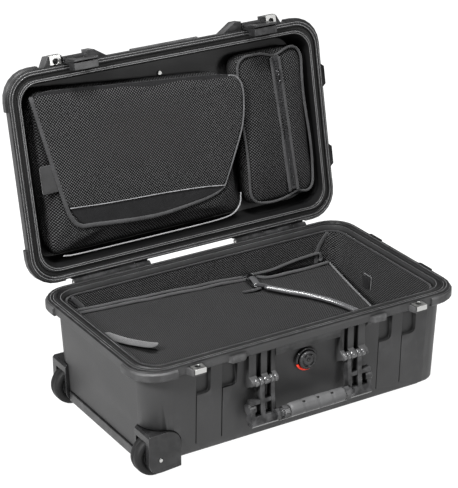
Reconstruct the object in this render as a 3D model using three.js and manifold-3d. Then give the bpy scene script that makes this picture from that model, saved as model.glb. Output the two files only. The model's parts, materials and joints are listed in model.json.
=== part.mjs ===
// A rolling hard-shell flight case, open, with a fabric organiser in its lid and a padded liner in its base.
// Millimetres, +Z up, +X towards the pull handle, -Y is the latch side, origin under the middle of the base.
// The lid and everything in it is drawn closed, then turned about the hinge line by one group.
import * as THREE from "three";
import { mergeVertices } from "three/addons/utils/BufferGeometryUtils.js";
import Module from "manifold-3d";

const wasm = await Module();
wasm.setup();

// ---------------------------------------------------------------- driving dimensions
const GAP = 0.3; // clearance between pieces that touch
const RIM = { x: 270.5, y: 159.5, r: 41.7 }; // half length, half width and corner radius of the rim
const RIM_HEIGHT = 15;
const RIM_WIDTH = 20; // from the outside of the rim to the clear opening
const PARTING = 175; // height of the plane where lid and base meet
const BASE_BOTTOM = 23;
const BASE_FLOOR = 28;
const LID_CEILING = 221;
const LID_TOP = 225;
const DRAFT = 10.5; // how much narrower the base is inside at its floor
const LID_DRAFT = 8.5;
const WALL_X = 255.5; // half length of the base outside, under the rim
const WALL_Y = 150;
const CORNER_STEPS = 6;

const HINGE = { y: 166, z: 172, knuckle: 5.6, pin: 2.2, centre: 142, width: 130 };
const LID_ANGLE = THREE.MathUtils.degToRad(101.5);

const LATCH = { centre: 154.5, width: 39.5, pinY: -165, pinZ: 190, leverPinY: -166.6, leverPinZ: 179 };
const POCKET = {
  spans: [[-25.5, -2], [16.5, 41.5]], // either side of each latch's centre
  bottom: 116, top: 158, back: 141.5, corner: 8,
  grooveFoot: 38, grooveWidth: 1.6, grooveDepth: 2.4,
};
const PADLOCK = { centre: 187, width: 18, front: -175, depth: 14.4, holeY: -165.5, hole: 4.5 };

const HANDLE = { pivotY: -162, pivotZ: 118, gripY: -180, gripZ: 70, gripHalf: 47, gripRadius: 10.5, core: 6 };
const SIDE_HANDLE = { pivotX: 263, pivotZ: 142, gripX: 270, gripZ: 92, half: 40 };

const VALVE = { z: 127, radius: 14 };

const WHEEL = { x: -238, z: 31, radius: 31, mid: 124, width: 23, hub: 19, axle: 3 };
const HOUSING = {
  x0: -256, x1: -205, inner: 106, outer: 148.5, z0: 11, z1: 72,
  cheek: 4.5, crown: 22, seam: 1.5,
};
const WELL_WALL = 4;

const TROLLEY = { x0: -198, x1: 237, y: 106, plate: 2.7, railY: 75, railHalf: 11, tubeZ0: 4, tubeZ1: 18 };

const LINER = 4.2; // thickness of the padded wall liner
const PANEL = { left: -239, right: 226, front: -127, rear: 121, thickness: 9, taper: 27 }; // shorter in front
const PANEL_HEIGHTS = { frontLeft: 150, frontRight: 98, rearLeft: 144, rearRight: 119 };

const POUCH_FACE = 172.6; // height, lid closed, of the laptop pouch's front
const ACCESSORY_FACE = 177;
const POUCH_BACK = 215;
const FLAP_THICKNESS = 3.4;

// ---------------------------------------------------------------- materials
const finish = (color, roughness, metalness = 0) =>
  new THREE.MeshStandardMaterial({ color, roughness, metalness });
const SHELL = finish(0x2b2b2b, 0.55);
const MOULDED = finish(0x1c1c1c, 0.5);
const RUBBER = finish(0x161616, 0.85);
const FABRIC = finish(0x202020, 0.95);
const STEEL = finish(0xd2d2d0, 0.3, 1);
const ALUMINIUM = finish(0x8f9194, 0.4, 1);
const RED_RUBBER = finish(0xc8321e, 0.6);

// ---------------------------------------------------------------- geometry helpers
// A closed three.js geometry as a manifold-3d solid, turned the right way out.
function solid(geometry) {
  const bare = geometry.index ? geometry.toNonIndexed() : geometry.clone();
  bare.deleteAttribute("normal");
  bare.deleteAttribute("uv");
  const merged = mergeVertices(bare, 1e-3);
  const source = merged.index.array;
  const triangles = [];
  for (let i = 0; i < source.length; i += 3) {
    const [a, b, c] = [source[i], source[i + 1], source[i + 2]];
    if (a !== b && b !== c && c !== a) triangles.push(a, b, c);
  }
  const build = (list) =>
    new wasm.Manifold(
      new wasm.Mesh({
        numProp: 3,
        vertProperties: merged.attributes.position.array,
        triVerts: new Uint32Array(list),
      }),
    );
  const made = build(triangles);
  return made.volume() < 0 ? build(triangles.reverse()) : made;
}

function geometryOf(made) {
  const mesh = made.getMesh();
  const positions = new Float32Array(mesh.numVert * 3);
  for (let i = 0; i < mesh.numVert; i += 1) {
    positions.set(mesh.vertProperties.subarray(i * mesh.numProp, i * mesh.numProp + 3), i * 3);
  }
  const geometry = new THREE.BufferGeometry();
  geometry.setAttribute("position", new THREE.BufferAttribute(positions, 3));
  geometry.setIndex(new THREE.BufferAttribute(mesh.triVerts, 1));
  return geometry;
}

const join = (...pieces) => pieces.reduce((all, piece) => all.add(piece));

function box(x0, x1, y0, y1, z0, z1) {
  const shape = new THREE.BoxGeometry(x1 - x0, y1 - y0, z1 - z0);
  return solid(shape.translate((x0 + x1) / 2, (y0 + y1) / 2, (z0 + z1) / 2));
}

// A shape's outline pushed along one axis. Points are (y, z) for "x", (x, z) for "y" and (x, y) for "z".
function prism(axis, points, from, to) {
  const isShape = points instanceof THREE.Shape;
  const shape = isShape ? points : new THREE.Shape(points.map(([a, b]) => new THREE.Vector2(a, b)));
  const geometry = new THREE.ExtrudeGeometry(shape, { depth: to - from, bevelEnabled: false, curveSegments: 6 });
  geometry.translate(0, 0, from);
  const [X, Y, Z] = [new THREE.Vector3(1, 0, 0), new THREE.Vector3(0, 1, 0), new THREE.Vector3(0, 0, 1)];
  const frames = { x: [Y, Z, X], y: [X, Z, Y], z: [X, Y, Z] };
  return solid(geometry.applyMatrix4(new THREE.Matrix4().makeBasis(...frames[axis])));
}

// A round rod along one axis, with its centre line at (a, b) on the other two.
function rod(axis, radius, from, to, a, b, sides = 16) {
  const shape = new THREE.CylinderGeometry(radius, radius, to - from, sides);
  const middle = (from + to) / 2;
  if (axis === "x") shape.rotateZ(-Math.PI / 2).translate(middle, a, b);
  if (axis === "y") shape.translate(a, middle, b);
  if (axis === "z") shape.rotateX(Math.PI / 2).translate(a, b, middle);
  return solid(shape);
}

// A body of revolution about a line along Y through (x, z). Profile points are (radius, y).
function turned(profile, x, z, sides) {
  const points = profile.map(([radius, y]) => new THREE.Vector2(radius, y));
  return solid(new THREE.LatheGeometry(points, sides).translate(x, 0, z));
}

// The points of a rounded rectangle at height z, counter-clockwise.
function ring(halfX, halfY, radius, z, steps = CORNER_STEPS) {
  const points = [];
  const quarter = Math.PI / 2;
  for (let corner = 0; corner < 4; corner += 1) {
    const sx = corner === 0 || corner === 3 ? 1 : -1;
    const sy = corner < 2 ? 1 : -1;
    for (let i = 0; i <= steps; i += 1) {
      const angle = quarter * (corner + i / steps);
      const x = sx * (halfX - radius) + radius * Math.cos(angle);
      const y = sy * (halfY - radius) + radius * Math.sin(angle);
      points.push(new THREE.Vector3(x, y, z));
    }
  }
  return points;
}

// A solid through a stack of rings with equal numbers of points, each counter-clockwise from above.
function loft(rings) {
  const count = rings[0].length;
  const index = [];
  for (let k = 0; k + 1 < rings.length; k += 1) {
    for (let i = 0; i < count; i += 1) {
      const next = (i + 1) % count;
      const [a, b] = [k * count + i, k * count + next];
      const [c, d] = [b + count, a + count];
      index.push(a, b, c, a, c, d);
    }
  }
  const top = (rings.length - 1) * count;
  for (let i = 1; i + 1 < count; i += 1) {
    index.push(0, i + 1, i, top, top + i, top + i + 1);
  }
  const geometry = new THREE.BufferGeometry();
  const positions = rings.flat().flatMap((p) => [p.x, p.y, p.z]);
  geometry.setAttribute("position", new THREE.Float32BufferAttribute(positions, 3));
  geometry.setIndex(index);
  return solid(geometry);
}

const band = (halfX, halfY, radius, z0, z1) =>
  loft([ring(halfX, halfY, radius, z0), ring(halfX, halfY, radius, z1)]);

// The same piece on both sides of the plane x = 0.
const bothEnds = (make) => make(1).add(make(-1));

// A box given by its distances from the middle, on the side that `side` points to.
function endBox(side, x0, x1, near, far, z0, z1) {
  return side > 0 ? box(x0, x1, near, far, z0, z1) : box(x0, x1, -far, -near, z0, z1);
}

const mirrorX = (side, points) => points.map(([x, y]) => [side * x, y]);

// ---------------------------------------------------------------- parts of both shells
// The clear space of the base, shrunk by `inset`, from `z0` up to `z1`.
function baseSpace(inset, z0, z1) {
  const ringAt = (z) => {
    const narrowing = (DRAFT * (PARTING - z)) / (PARTING - BASE_FLOOR);
    const half = RIM_WIDTH + narrowing + inset;
    return ring(RIM.x - half, RIM.y - half, 30 - inset, z);
  };
  return loft([ringAt(z0), ringAt(z1)]);
}

// Thick round pads that guard the four corners of a rim.
function cornerGuards(z0, z1) {
  const proud = 3;
  const chamfer = 2.5;
  const outline = (cut, z) => ring(RIM.x + proud - cut, RIM.y + proud - cut, RIM.r + proud - cut, z);
  const levels = [[chamfer, z0], [0, z0 + chamfer], [0, z1 - chamfer], [chamfer, z1]];
  const guard = loft(levels.map(([inset, z]) => outline(inset, z)));
  const core = band(RIM.x - RIM_WIDTH / 2, RIM.y - RIM_WIDTH / 2, RIM.r - RIM_WIDTH / 2, z0 - 1, z1 + 1);
  const cross = join(box(-215, 215, -200, 200, z0 - 2, z1 + 2), box(-300, 300, -104, 104, z0 - 2, z1 + 2));
  return guard.subtract(core).subtract(cross);
}

// Two blocks on the right end of a rim, which guard the side handle.
function endBumpers(z0, z1) {
  const bumper = (side) => {
    const outline = [[266, 42], [277, 51], [277, 79], [266, 88]];
    const points = outline.map(([x, y]) => [x, side * y]);
    return prism("z", points, z0, z1);
  };
  return bumper(1).add(bumper(-1));
}

function hingeKnuckles(spans, armZ0, armZ1) {
  let all = null;
  for (const side of [-1, 1]) {
    for (const [from, to] of spans) {
      const x0 = side * HINGE.centre + from;
      const x1 = side * HINGE.centre + to;
      const barrel = rod("x", HINGE.knuckle, x0, x1, HINGE.y, HINGE.z);
      const knuckle = barrel.add(box(x0, x1, RIM.y - 6, HINGE.y, armZ0, armZ1));
      all = all ? all.add(knuckle) : knuckle;
    }
  }
  return all;
}

function hingeBore() {
  return bothEnds((side) => {
    const from = side * HINGE.centre - HINGE.width / 2 - 2;
    return rod("x", HINGE.pin + GAP, from, from + HINGE.width + 4, HINGE.y, HINGE.z, 12);
  });
}

// ---------------------------------------------------------------- base shell
// Two pockets under the rim at each latch, open upwards, each with a groove that runs down from its left edge.
function latchRecesses() {
  const { bottom, top, back, corner, grooveFoot, grooveWidth, grooveDepth } = POCKET;
  const wallAt = (z) => WALL_Y - 5.5 * (PARTING - RIM_HEIGHT + 1 - z) / (PARTING - RIM_HEIGHT - BASE_BOTTOM - 3);
  const pocket = (x0, x1) => {
    const tall = box(x0, x1, -170, -back, bottom + corner, top);
    const low = box(x0, x1 - corner, -170, -back, bottom, bottom + corner + 1);
    const round = rod("y", corner, -170, -back, x1 - corner, bottom + corner, 24);
    const inner = (z) => grooveDepth - wallAt(z);
    const upper = bottom + 1;
    const line = [[-170, grooveFoot], [inner(grooveFoot), grooveFoot], [inner(upper), upper], [-170, upper]];
    return join(tall, low, round, prism("x", line, x0, x0 + grooveWidth));
  };
  return bothEnds((side) => {
    const middle = side * LATCH.centre;
    const [first, second] = POCKET.spans.map(([from, to]) => pocket(middle + from, middle + to));
    return first.add(second);
  });
}

// Blocks under the base rim: a catch beside each latch and a seat for each padlock plate.
function frontLedges() {
  return bothEnds((side) => {
    const catchBlock = [[103, -158], [110, -165.5], [130, -166], [134, -158]];
    const seat = [[174, -158], [178, -172.3], [196, -172.3], [202, -158]];
    const catchBody = prism("z", mirrorX(side, catchBlock), 160, 170);
    const gusset = prism("x", [[-149, 148], [-158, 158], [-160, 166], [-149, 166]], 103, 112);
    const placed = side > 0 ? gusset : gusset.translate([-215, 0, 0]);
    return join(catchBody, placed, prism("z", mirrorX(side, seat), 160.5, 170.5));
  });
}

// The three upright ribs on each side that carry the front handle's pins.
function handleRibs() {
  const { pivotY, pivotZ } = HANDLE;
  const outline = [[-146, 160], [-157, 160], [-157, 126], [pivotY, pivotZ + 5], [pivotY, pivotZ - 5], [-146, 104]];
  const spans = [[55, 62], [69, 79], [87, 99]];
  return bothEnds((side) => {
    const ribs = spans.map(([near, far]) => {
      const [x0, x1] = side > 0 ? [near, far] : [-far, -near];
      return prism("x", outline, x0, x1).add(rod("x", 5, x0, x1, pivotY, pivotZ));
    });
    return join(...ribs);
  });
}

function handleBore() {
  return bothEnds((side) => {
    const [x0, x1] = side > 0 ? [56, 98] : [-98, -56];
    return rod("x", 2.8, x0, x1, HANDLE.pivotY, HANDLE.pivotZ, 12);
  });
}

// Ears on the right end wall that hold the side handle.
function sideHandleEars() {
  const { pivotX, pivotZ, half } = SIDE_HANDLE;
  const outline = [[250, 160], [265, 160], [pivotX + 5, pivotZ], [pivotX, pivotZ - 5], [250, 122]];
  const ear = (y0, y1) => prism("y", outline, y0, y1).add(rod("y", 5, y0, y1, pivotX, pivotZ));
  const outer = join(ear(half + 4, half + 12), ear(-half - 12, -half - 4));
  return join(outer, ear(half - 14, half - 6), ear(6 - half, 14 - half));
}

function wheelWells(wall) {
  const one = (side) =>
    endBox(side, HOUSING.x0 - 20, HOUSING.x1 + GAP + wall, HOUSING.inner - GAP - wall, 160, 0, HOUSING.z1 + GAP + wall);
  return one(1).add(one(-1));
}

// The wells as seen from outside: they follow the housings' round crown with a narrow gap.
function wheelWellCuts() {
  const { x0, x1, inner, z1, crown, seam } = HOUSING;
  const profile = new THREE.Shape();
  profile.moveTo(x0 - 20, 0);
  profile.lineTo(x0 - 20, z1 + seam);
  profile.lineTo(x1 - crown, z1 + seam);
  profile.absarc(x1 - crown, z1 - crown, crown + seam, Math.PI / 2, 0, true);
  profile.lineTo(x1 + seam, 0);
  return join(prism("y", profile, inner - GAP, 160), prism("y", profile, -160, GAP - inner));
}

function baseShell() {
  const body = loft([
    ring(WALL_X - 12, WALL_Y - 11, 30, BASE_BOTTOM),
    ring(WALL_X - 6.5, WALL_Y - 5.5, 35, BASE_BOTTOM + 4),
    ring(WALL_X, WALL_Y, 39, PARTING - RIM_HEIGHT + 1),
  ]);
  const rimChamfer = 2;
  const rim = loft([
    ring(RIM.x - rimChamfer, RIM.y - rimChamfer, RIM.r - rimChamfer, PARTING - RIM_HEIGHT),
    ring(RIM.x, RIM.y, RIM.r, PARTING - RIM_HEIGHT + rimChamfer),
    ring(RIM.x, RIM.y, RIM.r, PARTING - 1),
    ring(RIM.x - 1, RIM.y - 1, RIM.r - 1, PARTING),
  ]);
  const tongueOuter = band(RIM.x - 10, RIM.y - 10, 33, PARTING - 1, PARTING + 2);
  const tongueInner = band(RIM.x - 13.5, RIM.y - 13.5, 29.5, PARTING - 2, PARTING + 3);
  const frontBand = box(-55, 55, -RIM.y + 1, -WALL_Y + 3, 150, PARTING - RIM_HEIGHT + 1);
  const valveBoss = rod("y", 17, -WALL_Y - 1, -WALL_Y + 6, 0, VALVE.z, 24);
  const outside = body
    .subtract(latchRecesses())
    .add(rim)
    .add(tongueOuter.subtract(tongueInner))
    .add(join(frontBand, valveBoss, frontLedges(), handleRibs(), sideHandleEars()))
    .add(cornerGuards(158, 172))
    .add(endBumpers(160, 172))
    .add(hingeKnuckles([[-65, -41], [-12, 12], [41, 65]], HINGE.z - HINGE.knuckle, HINGE.z));
  const inside = baseSpace(0, BASE_FLOOR, PARTING + 5).subtract(wheelWells(WELL_WALL));
  const bumperSlot = box(-300, -244, -104.5, 104.5, 0, 30);
  const padlockHoles = bothEnds((side) => rod("z", PADLOCK.hole, 150, 180, side * PADLOCK.centre, PADLOCK.holeY, 12));
  const valveBore = rod("y", 8, -170, -130, 0, VALVE.z);
  const { pivotX, pivotZ, half } = SIDE_HANDLE;
  const sideBore = rod("y", 2.8, -half - 11, -half + 13, pivotX, pivotZ, 12);
  return outside
    .subtract(inside)
    .subtract(wheelWellCuts())
    .subtract(bumperSlot)
    .subtract(join(padlockHoles, valveBore, hingeBore(), handleBore()))
    .subtract(sideBore.add(sideBore.translate([0, 2 * half - 2, 0])));
}

// ---------------------------------------------------------------- lid shell (drawn closed)
// Wedges on the lid's front edge: one inboard of each latch, and one outboard that backs the padlock plate.
function lidWedges() {
  return bothEnds((side) => {
    const inner = [[98, -158], [122, -173], [133.6, -173], [133.6, -158]];
    const outer = [[175.4, -158], [175.4, -173], [198, -173], [206, -158]];
    const innerBody = prism("z", mirrorX(side, inner), PARTING + 3, 197);
    return innerBody.add(prism("z", mirrorX(side, outer), PARTING + 3, 197));
  });
}

function lidShell() {
  const low = PARTING + GAP;
  const rimTop = PARTING + RIM_HEIGHT;
  const rim = loft([
    ring(RIM.x - 1, RIM.y - 1, RIM.r - 1, low),
    ring(RIM.x, RIM.y, RIM.r, low + 1),
    ring(RIM.x, RIM.y, RIM.r, rimTop - 2),
    ring(RIM.x - 2, RIM.y - 2, RIM.r - 2, rimTop),
  ]);
  const crown = loft([
    ring(WALL_X + 2, WALL_Y + 2, 41, rimTop - 1),
    ring(WALL_X - 4, WALL_Y - 4, 36, LID_TOP - 6),
    ring(WALL_X - 11, WALL_Y - 11, 30, LID_TOP),
  ]);
  const pads = bothEnds((side) => {
    const levels = [[48, 112, 14, LID_TOP - 2], [48, 112, 14, LID_TOP + 2.5], [45.5, 109.5, 12, LID_TOP + 4]];
    const raised = levels.map((level) => ring(...level));
    return loft(raised).translate([side * 176, 0, 0]);
  });
  const padLevels = [[92, 88, 10, LID_TOP - 2], [92, 88, 10, LID_TOP + 1], [90.5, 86.5, 9, LID_TOP + 2]];
  const centrePad = loft(padLevels.map((level) => ring(...level)));
  const spaceRing = (narrowing, z) =>
    ring(RIM.x - RIM_WIDTH - narrowing, RIM.y - RIM_WIDTH - narrowing, 30 - narrowing / 3, z);
  const space = loft([spaceRing(0, PARTING - 5), spaceRing(0, low), spaceRing(LID_DRAFT, LID_CEILING)]);
  const grooveOuter = band(RIM.x - 8.7, RIM.y - 8.7, 34.3, PARTING - 1, PARTING + 6);
  const grooveInner = band(RIM.x - 14.8, RIM.y - 14.8, 28.2, PARTING - 2, PARTING + 7);
  const centreRib = box(-58, 58, -RIM.y - 2, -RIM.y + 4, rimTop - 6, rimTop - 1);
  const { pinY, pinZ } = LATCH;
  const latchBores = bothEnds((side) => {
    const [x0, x1] = side > 0 ? [129, 180] : [-180, -129];
    return rod("x", 2 + GAP, x0, x1, pinY, pinZ, 12);
  });
  const padlockHoles = bothEnds((side) => rod("z", PADLOCK.hole, 170, 200, side * PADLOCK.centre, PADLOCK.holeY, 12));
  const leaves = bothEnds((side) => {
    const from = side * HINGE.centre - HINGE.width / 2;
    return box(from, from + HINGE.width, RIM.y - 2, RIM.y + 2, HINGE.z + 4.5, rimTop - 5);
  });
  const guards = join(cornerGuards(178, 192), endBumpers(178, 190));
  return join(rim, crown, pads, centrePad, centreRib, leaves, lidWedges(), guards)
    .add(hingeKnuckles([[-40.4, -12.6], [12.6, 40.4]], low + 0.3, HINGE.z + HINGE.knuckle))
    .subtract(space)
    .subtract(grooveOuter.subtract(grooveInner))
    .subtract(join(latchBores, padlockHoles, hingeBore()));
}

function lidGasket() {
  const [z0, z1] = [PARTING + 2.6, PARTING + 5.7];
  const outer = band(RIM.x - 9.4, RIM.y - 9.4, 33.6, z0, z1);
  return outer.subtract(band(RIM.x - 14.1, RIM.y - 14.1, 28.9, z0 - 1, z1 + 1));
}

// ---------------------------------------------------------------- small fittings
// A bent steel plate over a padlock hole: a flat and a front lip.
function padlockPlate(side, flatZ, lipZ) {
  const thickness = 1.6;
  const { centre, width, front, depth, holeY, hole } = PADLOCK;
  const [x0, x1] = [side * centre - width / 2, side * centre + width / 2];
  const flat = box(x0, x1, front, front + depth, flatZ, flatZ + thickness);
  const lip = box(x0, x1, front, front + thickness, Math.min(flatZ, lipZ), Math.max(flatZ + thickness, lipZ));
  return flat.add(lip).subtract(rod("z", hole, flatZ - 2, flatZ + 4, side * centre, holeY));
}

function latchClip(side) {
  const { centre, width, pinY, pinZ, leverPinY, leverPinZ } = LATCH;
  const [x0, x1] = [side * centre - width / 2, side * centre + width / 2];
  const hook = [[-152, 141], [-151.4, 150], [-152, 158.6]];
  const plate = [[-163, 184], [-163, 141], ...hook, [-159.9, 159.4], [-159.9, 184]];
  const barrel = rod("x", 4, x0, x1, pinY, pinZ);
  const neck = box(x0, x1, -164.5, -161.4, 182, 189);
  const ears = [x0, x1 - 5].map((x) => rod("x", 3.4, x, x + 5, leverPinY, leverPinZ, 14));
  const earWebs = [x0, x1 - 5].map((x) => box(x, x + 5, -165.5, -162, leverPinZ - 3, leverPinZ + 2.6));
  const bore = rod("x", 2 + GAP, x0 - 1, x1 + 1, pinY, pinZ, 12);
  const leverBore = rod("x", 1.6 + GAP, x0 - 1, x1 + 1, leverPinY, leverPinZ, 12);
  return join(prism("x", plate, x0, x1), barrel, neck, ...ears, ...earWebs)
    .subtract(bore)
    .subtract(leverBore);
}

function latchLever(side) {
  const { centre, width, leverPinY, leverPinZ } = LATCH;
  const inset = 5 + GAP;
  const [x0, x1] = [side * centre - width / 2, side * centre + width / 2];
  const face = [[-163.4, 172], [-163.4, 143], [-165.4, 139], [-168, 139], [-168, 172]];
  const tongue = [[-163.6, leverPinZ], [-163.6, 170], [-168.6, 170], [-168.6, leverPinZ]];
  const slot = box(x0 + 11, x1 - 11, -170, -166.8, 150, 166);
  return prism("x", face, x0, x1)
    .add(prism("x", tongue, x0 + inset, x1 - inset))
    .add(rod("x", 3, x0 + inset, x1 - inset, leverPinY, leverPinZ, 14))
    .subtract(slot)
    .subtract(rod("x", 1.6 + GAP, x0 - 1, x1 + 1, leverPinY, leverPinZ, 12));
}

function handleFrame() {
  const { pivotY, pivotZ, gripY, gripZ, core } = HANDLE;
  const arm = (side) => {
    const slab = (near, far, points) => {
      const [x0, x1] = side > 0 ? [near, far] : [-far, -near];
      return prism("x", points, x0, x1);
    };
    const long = [[-167, 118], [-168, 96], [-171, 62], [-166, 54], [-158, 56], [-156, 92], [-157.4, 118]];
    const fins = [[62.4, 68.6], [79.4, 86.6]].map(([near, far]) => slab(near, far, long));
    const outerFin = slab(96, 103, [[-166, 92], [-171, 62], [-165, 56], [-158, 60], [-157, 88]]);
    const [k0, k1] = side > 0 ? [62.4, 68.6] : [-68.6, -62.4];
    const [m0, m1] = side > 0 ? [79.4, 86.6] : [-86.6, -79.4];
    const knuckles = [rod("x", 5, k0, k1, pivotY, pivotZ), rod("x", 5, m0, m1, pivotY, pivotZ)];
    const bridge = slab(62.4, 103, [[-167.5, 92], [-168, 86], [-158, 86], [-158, 92]]);
    const boss = side > 0 ? rod("x", 8, 94, 105, -162, 79) : rod("x", 8, -105, -94, -162, 79);
    const foot = slab(56, 103, [[-170, 68], [-174, 56], [-170, 51.5], [-160, 52.5], [-157, 60], [-158, 68]]);
    const cap = slab(48, 57, [[-185, 76], [-188, 70], [-185, 61], [-174, 54], [-165, 57], [-168, 71], [-176, 78]]);
    const neck = slab(56, 66, [[-180, 72], [-182, 67], [-179, 59], [-170, 53], [-162, 56], [-166, 68], [-172, 73]]);
    return join(...fins, ...knuckles, outerFin, bridge, boss, foot, cap, neck);
  };
  const bar = rod("x", core, -60, 60, gripY, gripZ);
  const web = prism("x", [[-178, 56.8], [-172, 52], [-164, 53.5], [-164, 57], [-171, 57.4]], -58, 58);
  return join(arm(1), arm(-1), bar, web).subtract(handleHoleRods(2.8));
}

function handleHoleRods(radius) {
  return bothEnds((side) => {
    const [x0, x1] = side > 0 ? [50, 110] : [-110, -50];
    return rod("x", radius, x0, x1, HANDLE.pivotY, HANDLE.pivotZ, 12);
  });
}

function handleGrip() {
  const { gripY, gripZ, gripHalf, gripRadius, core } = HANDLE;
  const outer = rod("x", gripRadius, -gripHalf, gripHalf, gripY, gripZ, 24);
  const inner = rod("x", core + GAP, -gripHalf - 1, gripHalf + 1, gripY, gripZ, 16);
  return outer.subtract(inner);
}

function sideHandleFrame() {
  const { pivotX, pivotZ, gripX, gripZ, half } = SIDE_HANDLE;
  const arm = (y0, y1) => {
    const top = [[pivotX - 4, pivotZ], [pivotX + 4, pivotZ]];
    const outline = [...top, [gripX + 6, gripZ + 8], [gripX + 6, gripZ - 6], [gripX - 9, gripZ - 6]];
    const knuckle = rod("y", 5, y0, y1, pivotX, pivotZ);
    return prism("y", outline, y0, y1).add(knuckle).subtract(rod("y", 2.8, y0 - 1, y1 + 1, pivotX, pivotZ, 12));
  };
  const bar = rod("y", 5, -half, half, gripX, gripZ);
  return join(arm(half - 5.6, half + 3.6), arm(-half - 3.6, -half + 5.6), bar);
}

function sideHandleGrip() {
  const { gripX, gripZ, half } = SIDE_HANDLE;
  const reach = half - 6;
  const outer = rod("y", 8.5, -reach, reach, gripX, gripZ, 20);
  return outer.subtract(rod("y", 5 + GAP, -reach - 1, reach + 1, gripX, gripZ));
}

// ---------------------------------------------------------------- purge valve
function valveBody() {
  const face = -WALL_Y - 1 - GAP;
  const profile = [[0, -131], [12, -131], [12, -134.8], [7.6, -134.8], [7.6, face - 2.4], [0, face - 2.4]];
  return turned(profile, 0, VALVE.z, 24);
}

function valveSeal() {
  const face = -WALL_Y - 1 - GAP;
  const profile = [[8, face], [15.6, face], [16, face - 1], [15, face - 2.2], [8, face - 2.2], [8, face]];
  return turned(profile, 0, VALVE.z, 24);
}

function valveKnob() {
  const back = -WALL_Y - 1 - 2.4 - 2 * GAP;
  const r = VALVE.radius;
  const flange = [[0, back], [r - 1, back], [r, back - 1], [r, back - 4], [r - 1.5, back - 5.4]];
  const profile = [...flange, [9, back - 5.4], [8.2, back - 4.4], [0, back - 4.4]];
  return turned(profile, 0, VALVE.z, 24);
}

// ---------------------------------------------------------------- wheels
function wheelHousing(side) {
  const { x0, x1, inner, outer, z0, z1, cheek, crown } = HOUSING;
  const profile = new THREE.Shape();
  profile.moveTo(x0, z0 + 20);
  profile.lineTo(x0, z1 - 3);
  profile.lineTo(x0 + 3, z1);
  profile.lineTo(x1 - crown, z1);
  profile.absarc(x1 - crown, z1 - crown, crown, Math.PI / 2, 0, true);
  profile.lineTo(x1, z0 + 2);
  profile.lineTo(x1 - 30, z0);
  profile.absarc(x0 + 16, z0 + 16, 16, -Math.PI / 2, -Math.PI, true);
  const pod = side > 0 ? prism("y", profile, inner, outer) : prism("y", profile, -outer, -inner);
  const slot = (x, radius, z) => {
    const [y0, y1] = side > 0 ? [inner + cheek, outer - cheek - 7] : [-outer + cheek + 7, -inner - cheek];
    return rod("y", radius, y0, y1, x, z, 20);
  };
  const [y0, y1] = side > 0 ? [inner + cheek, outer - cheek - 7] : [-outer + cheek + 7, -inner - cheek];
  const mouth = box(x0 - 10, WHEEL.x, y0, y1, -5, WHEEL.z + 26);
  const below = box(WHEEL.x - 30, WHEEL.x + WHEEL.radius + 1.4, y0, y1, -5, WHEEL.z);
  return pod
    .subtract(slot(WHEEL.x, WHEEL.radius + 2, WHEEL.z))
    .subtract(mouth)
    .subtract(below)
    .subtract(rod("y", WHEEL.axle + GAP, -200, 200, WHEEL.x, WHEEL.z));
}

function wheelTyre(side) {
  const half = WHEEL.width / 2;
  const { radius, hub } = WHEEL;
  const outline = [[hub + GAP, -half], [radius - 4, -half], [radius - 1, -half + 3], [radius, -half + 7]];
  const mirrored = outline.map(([r, y]) => [r, -y]).reverse();
  const profile = [...outline, ...mirrored, outline[0]].map(([r, y]) => [r, y + side * WHEEL.mid]);
  return turned(profile, WHEEL.x, WHEEL.z, 28);
}

function wheelHub(side) {
  const half = WHEEL.width / 2;
  const { hub, axle } = WHEEL;
  const bore = axle + GAP;
  const dish = 4;
  const boss = [[bore, -half], [8, -half], [9, -half + dish]];
  const outline = [...boss, [hub - 4, -half + dish], [hub - 3, -half + 1], [hub, -half + 1]];
  const mirrored = outline.map(([r, y]) => [r, -y]).reverse();
  const profile = [...outline, ...mirrored, outline[0]].map(([r, y]) => [r, y + side * WHEEL.mid]);
  return turned(profile, WHEEL.x, WHEEL.z, 18);
}

function wheelAxle(side) {
  const [near, far] = [HOUSING.inner + 0.6, HOUSING.outer + 0.8];
  const [y0, y1] = side > 0 ? [near, far] : [-far, -near];
  return rod("y", WHEEL.axle - 0.2, y0, y1, WHEEL.x, WHEEL.z);
}

// ---------------------------------------------------------------- trolley handle
function trolleyHousing() {
  const { x0, x1, y, plate, railY, railHalf } = TROLLEY;
  const z0 = plate + GAP;
  const shell = box(x0, x1, -y, y, z0, BASE_BOTTOM - GAP);
  const channel = (side) => endBox(side, x0 + 8, x1 + 5, railY - railHalf - 1, railY + railHalf + 1, z0 - 1, 19.5);
  const relief = box(x0 + 20, x1 - 30, -railY + 20, railY - 20, z0 - 1, 14);
  return shell.subtract(join(channel(1), channel(-1), relief));
}

function trolleyPlate() {
  const { x0, x1, y, plate } = TROLLEY;
  return box(x0, x1, -y, y, 0, plate);
}

function outerTube(side) {
  const { x0, x1, railY, railHalf, tubeZ0, tubeZ1 } = TROLLEY;
  const wall = 1.5;
  const tube = endBox(side, x0 + 12, x1, railY - railHalf, railY + railHalf, tubeZ0, tubeZ1);
  const inner = railHalf - wall;
  const bore = endBox(side, x0 + 10, x1 + 2, railY - inner, railY + inner, tubeZ0 + wall, tubeZ1 - wall);
  return tube.subtract(bore);
}

function trolleyCollar() {
  const { x1, railY, railHalf, tubeZ0, tubeZ1 } = TROLLEY;
  const wall = 1.5;
  const bar = box(x1 + GAP, x1 + 6, -railY - railHalf - 3, railY + railHalf + 3, tubeZ0, tubeZ1 + 2);
  const bore = (side) =>
    endBox(side, x1, x1 + 8, railY - railHalf + wall, railY + railHalf - wall, tubeZ0 + wall, tubeZ1 - wall);
  return bar.subtract(join(bore(1), bore(-1)));
}

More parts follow.
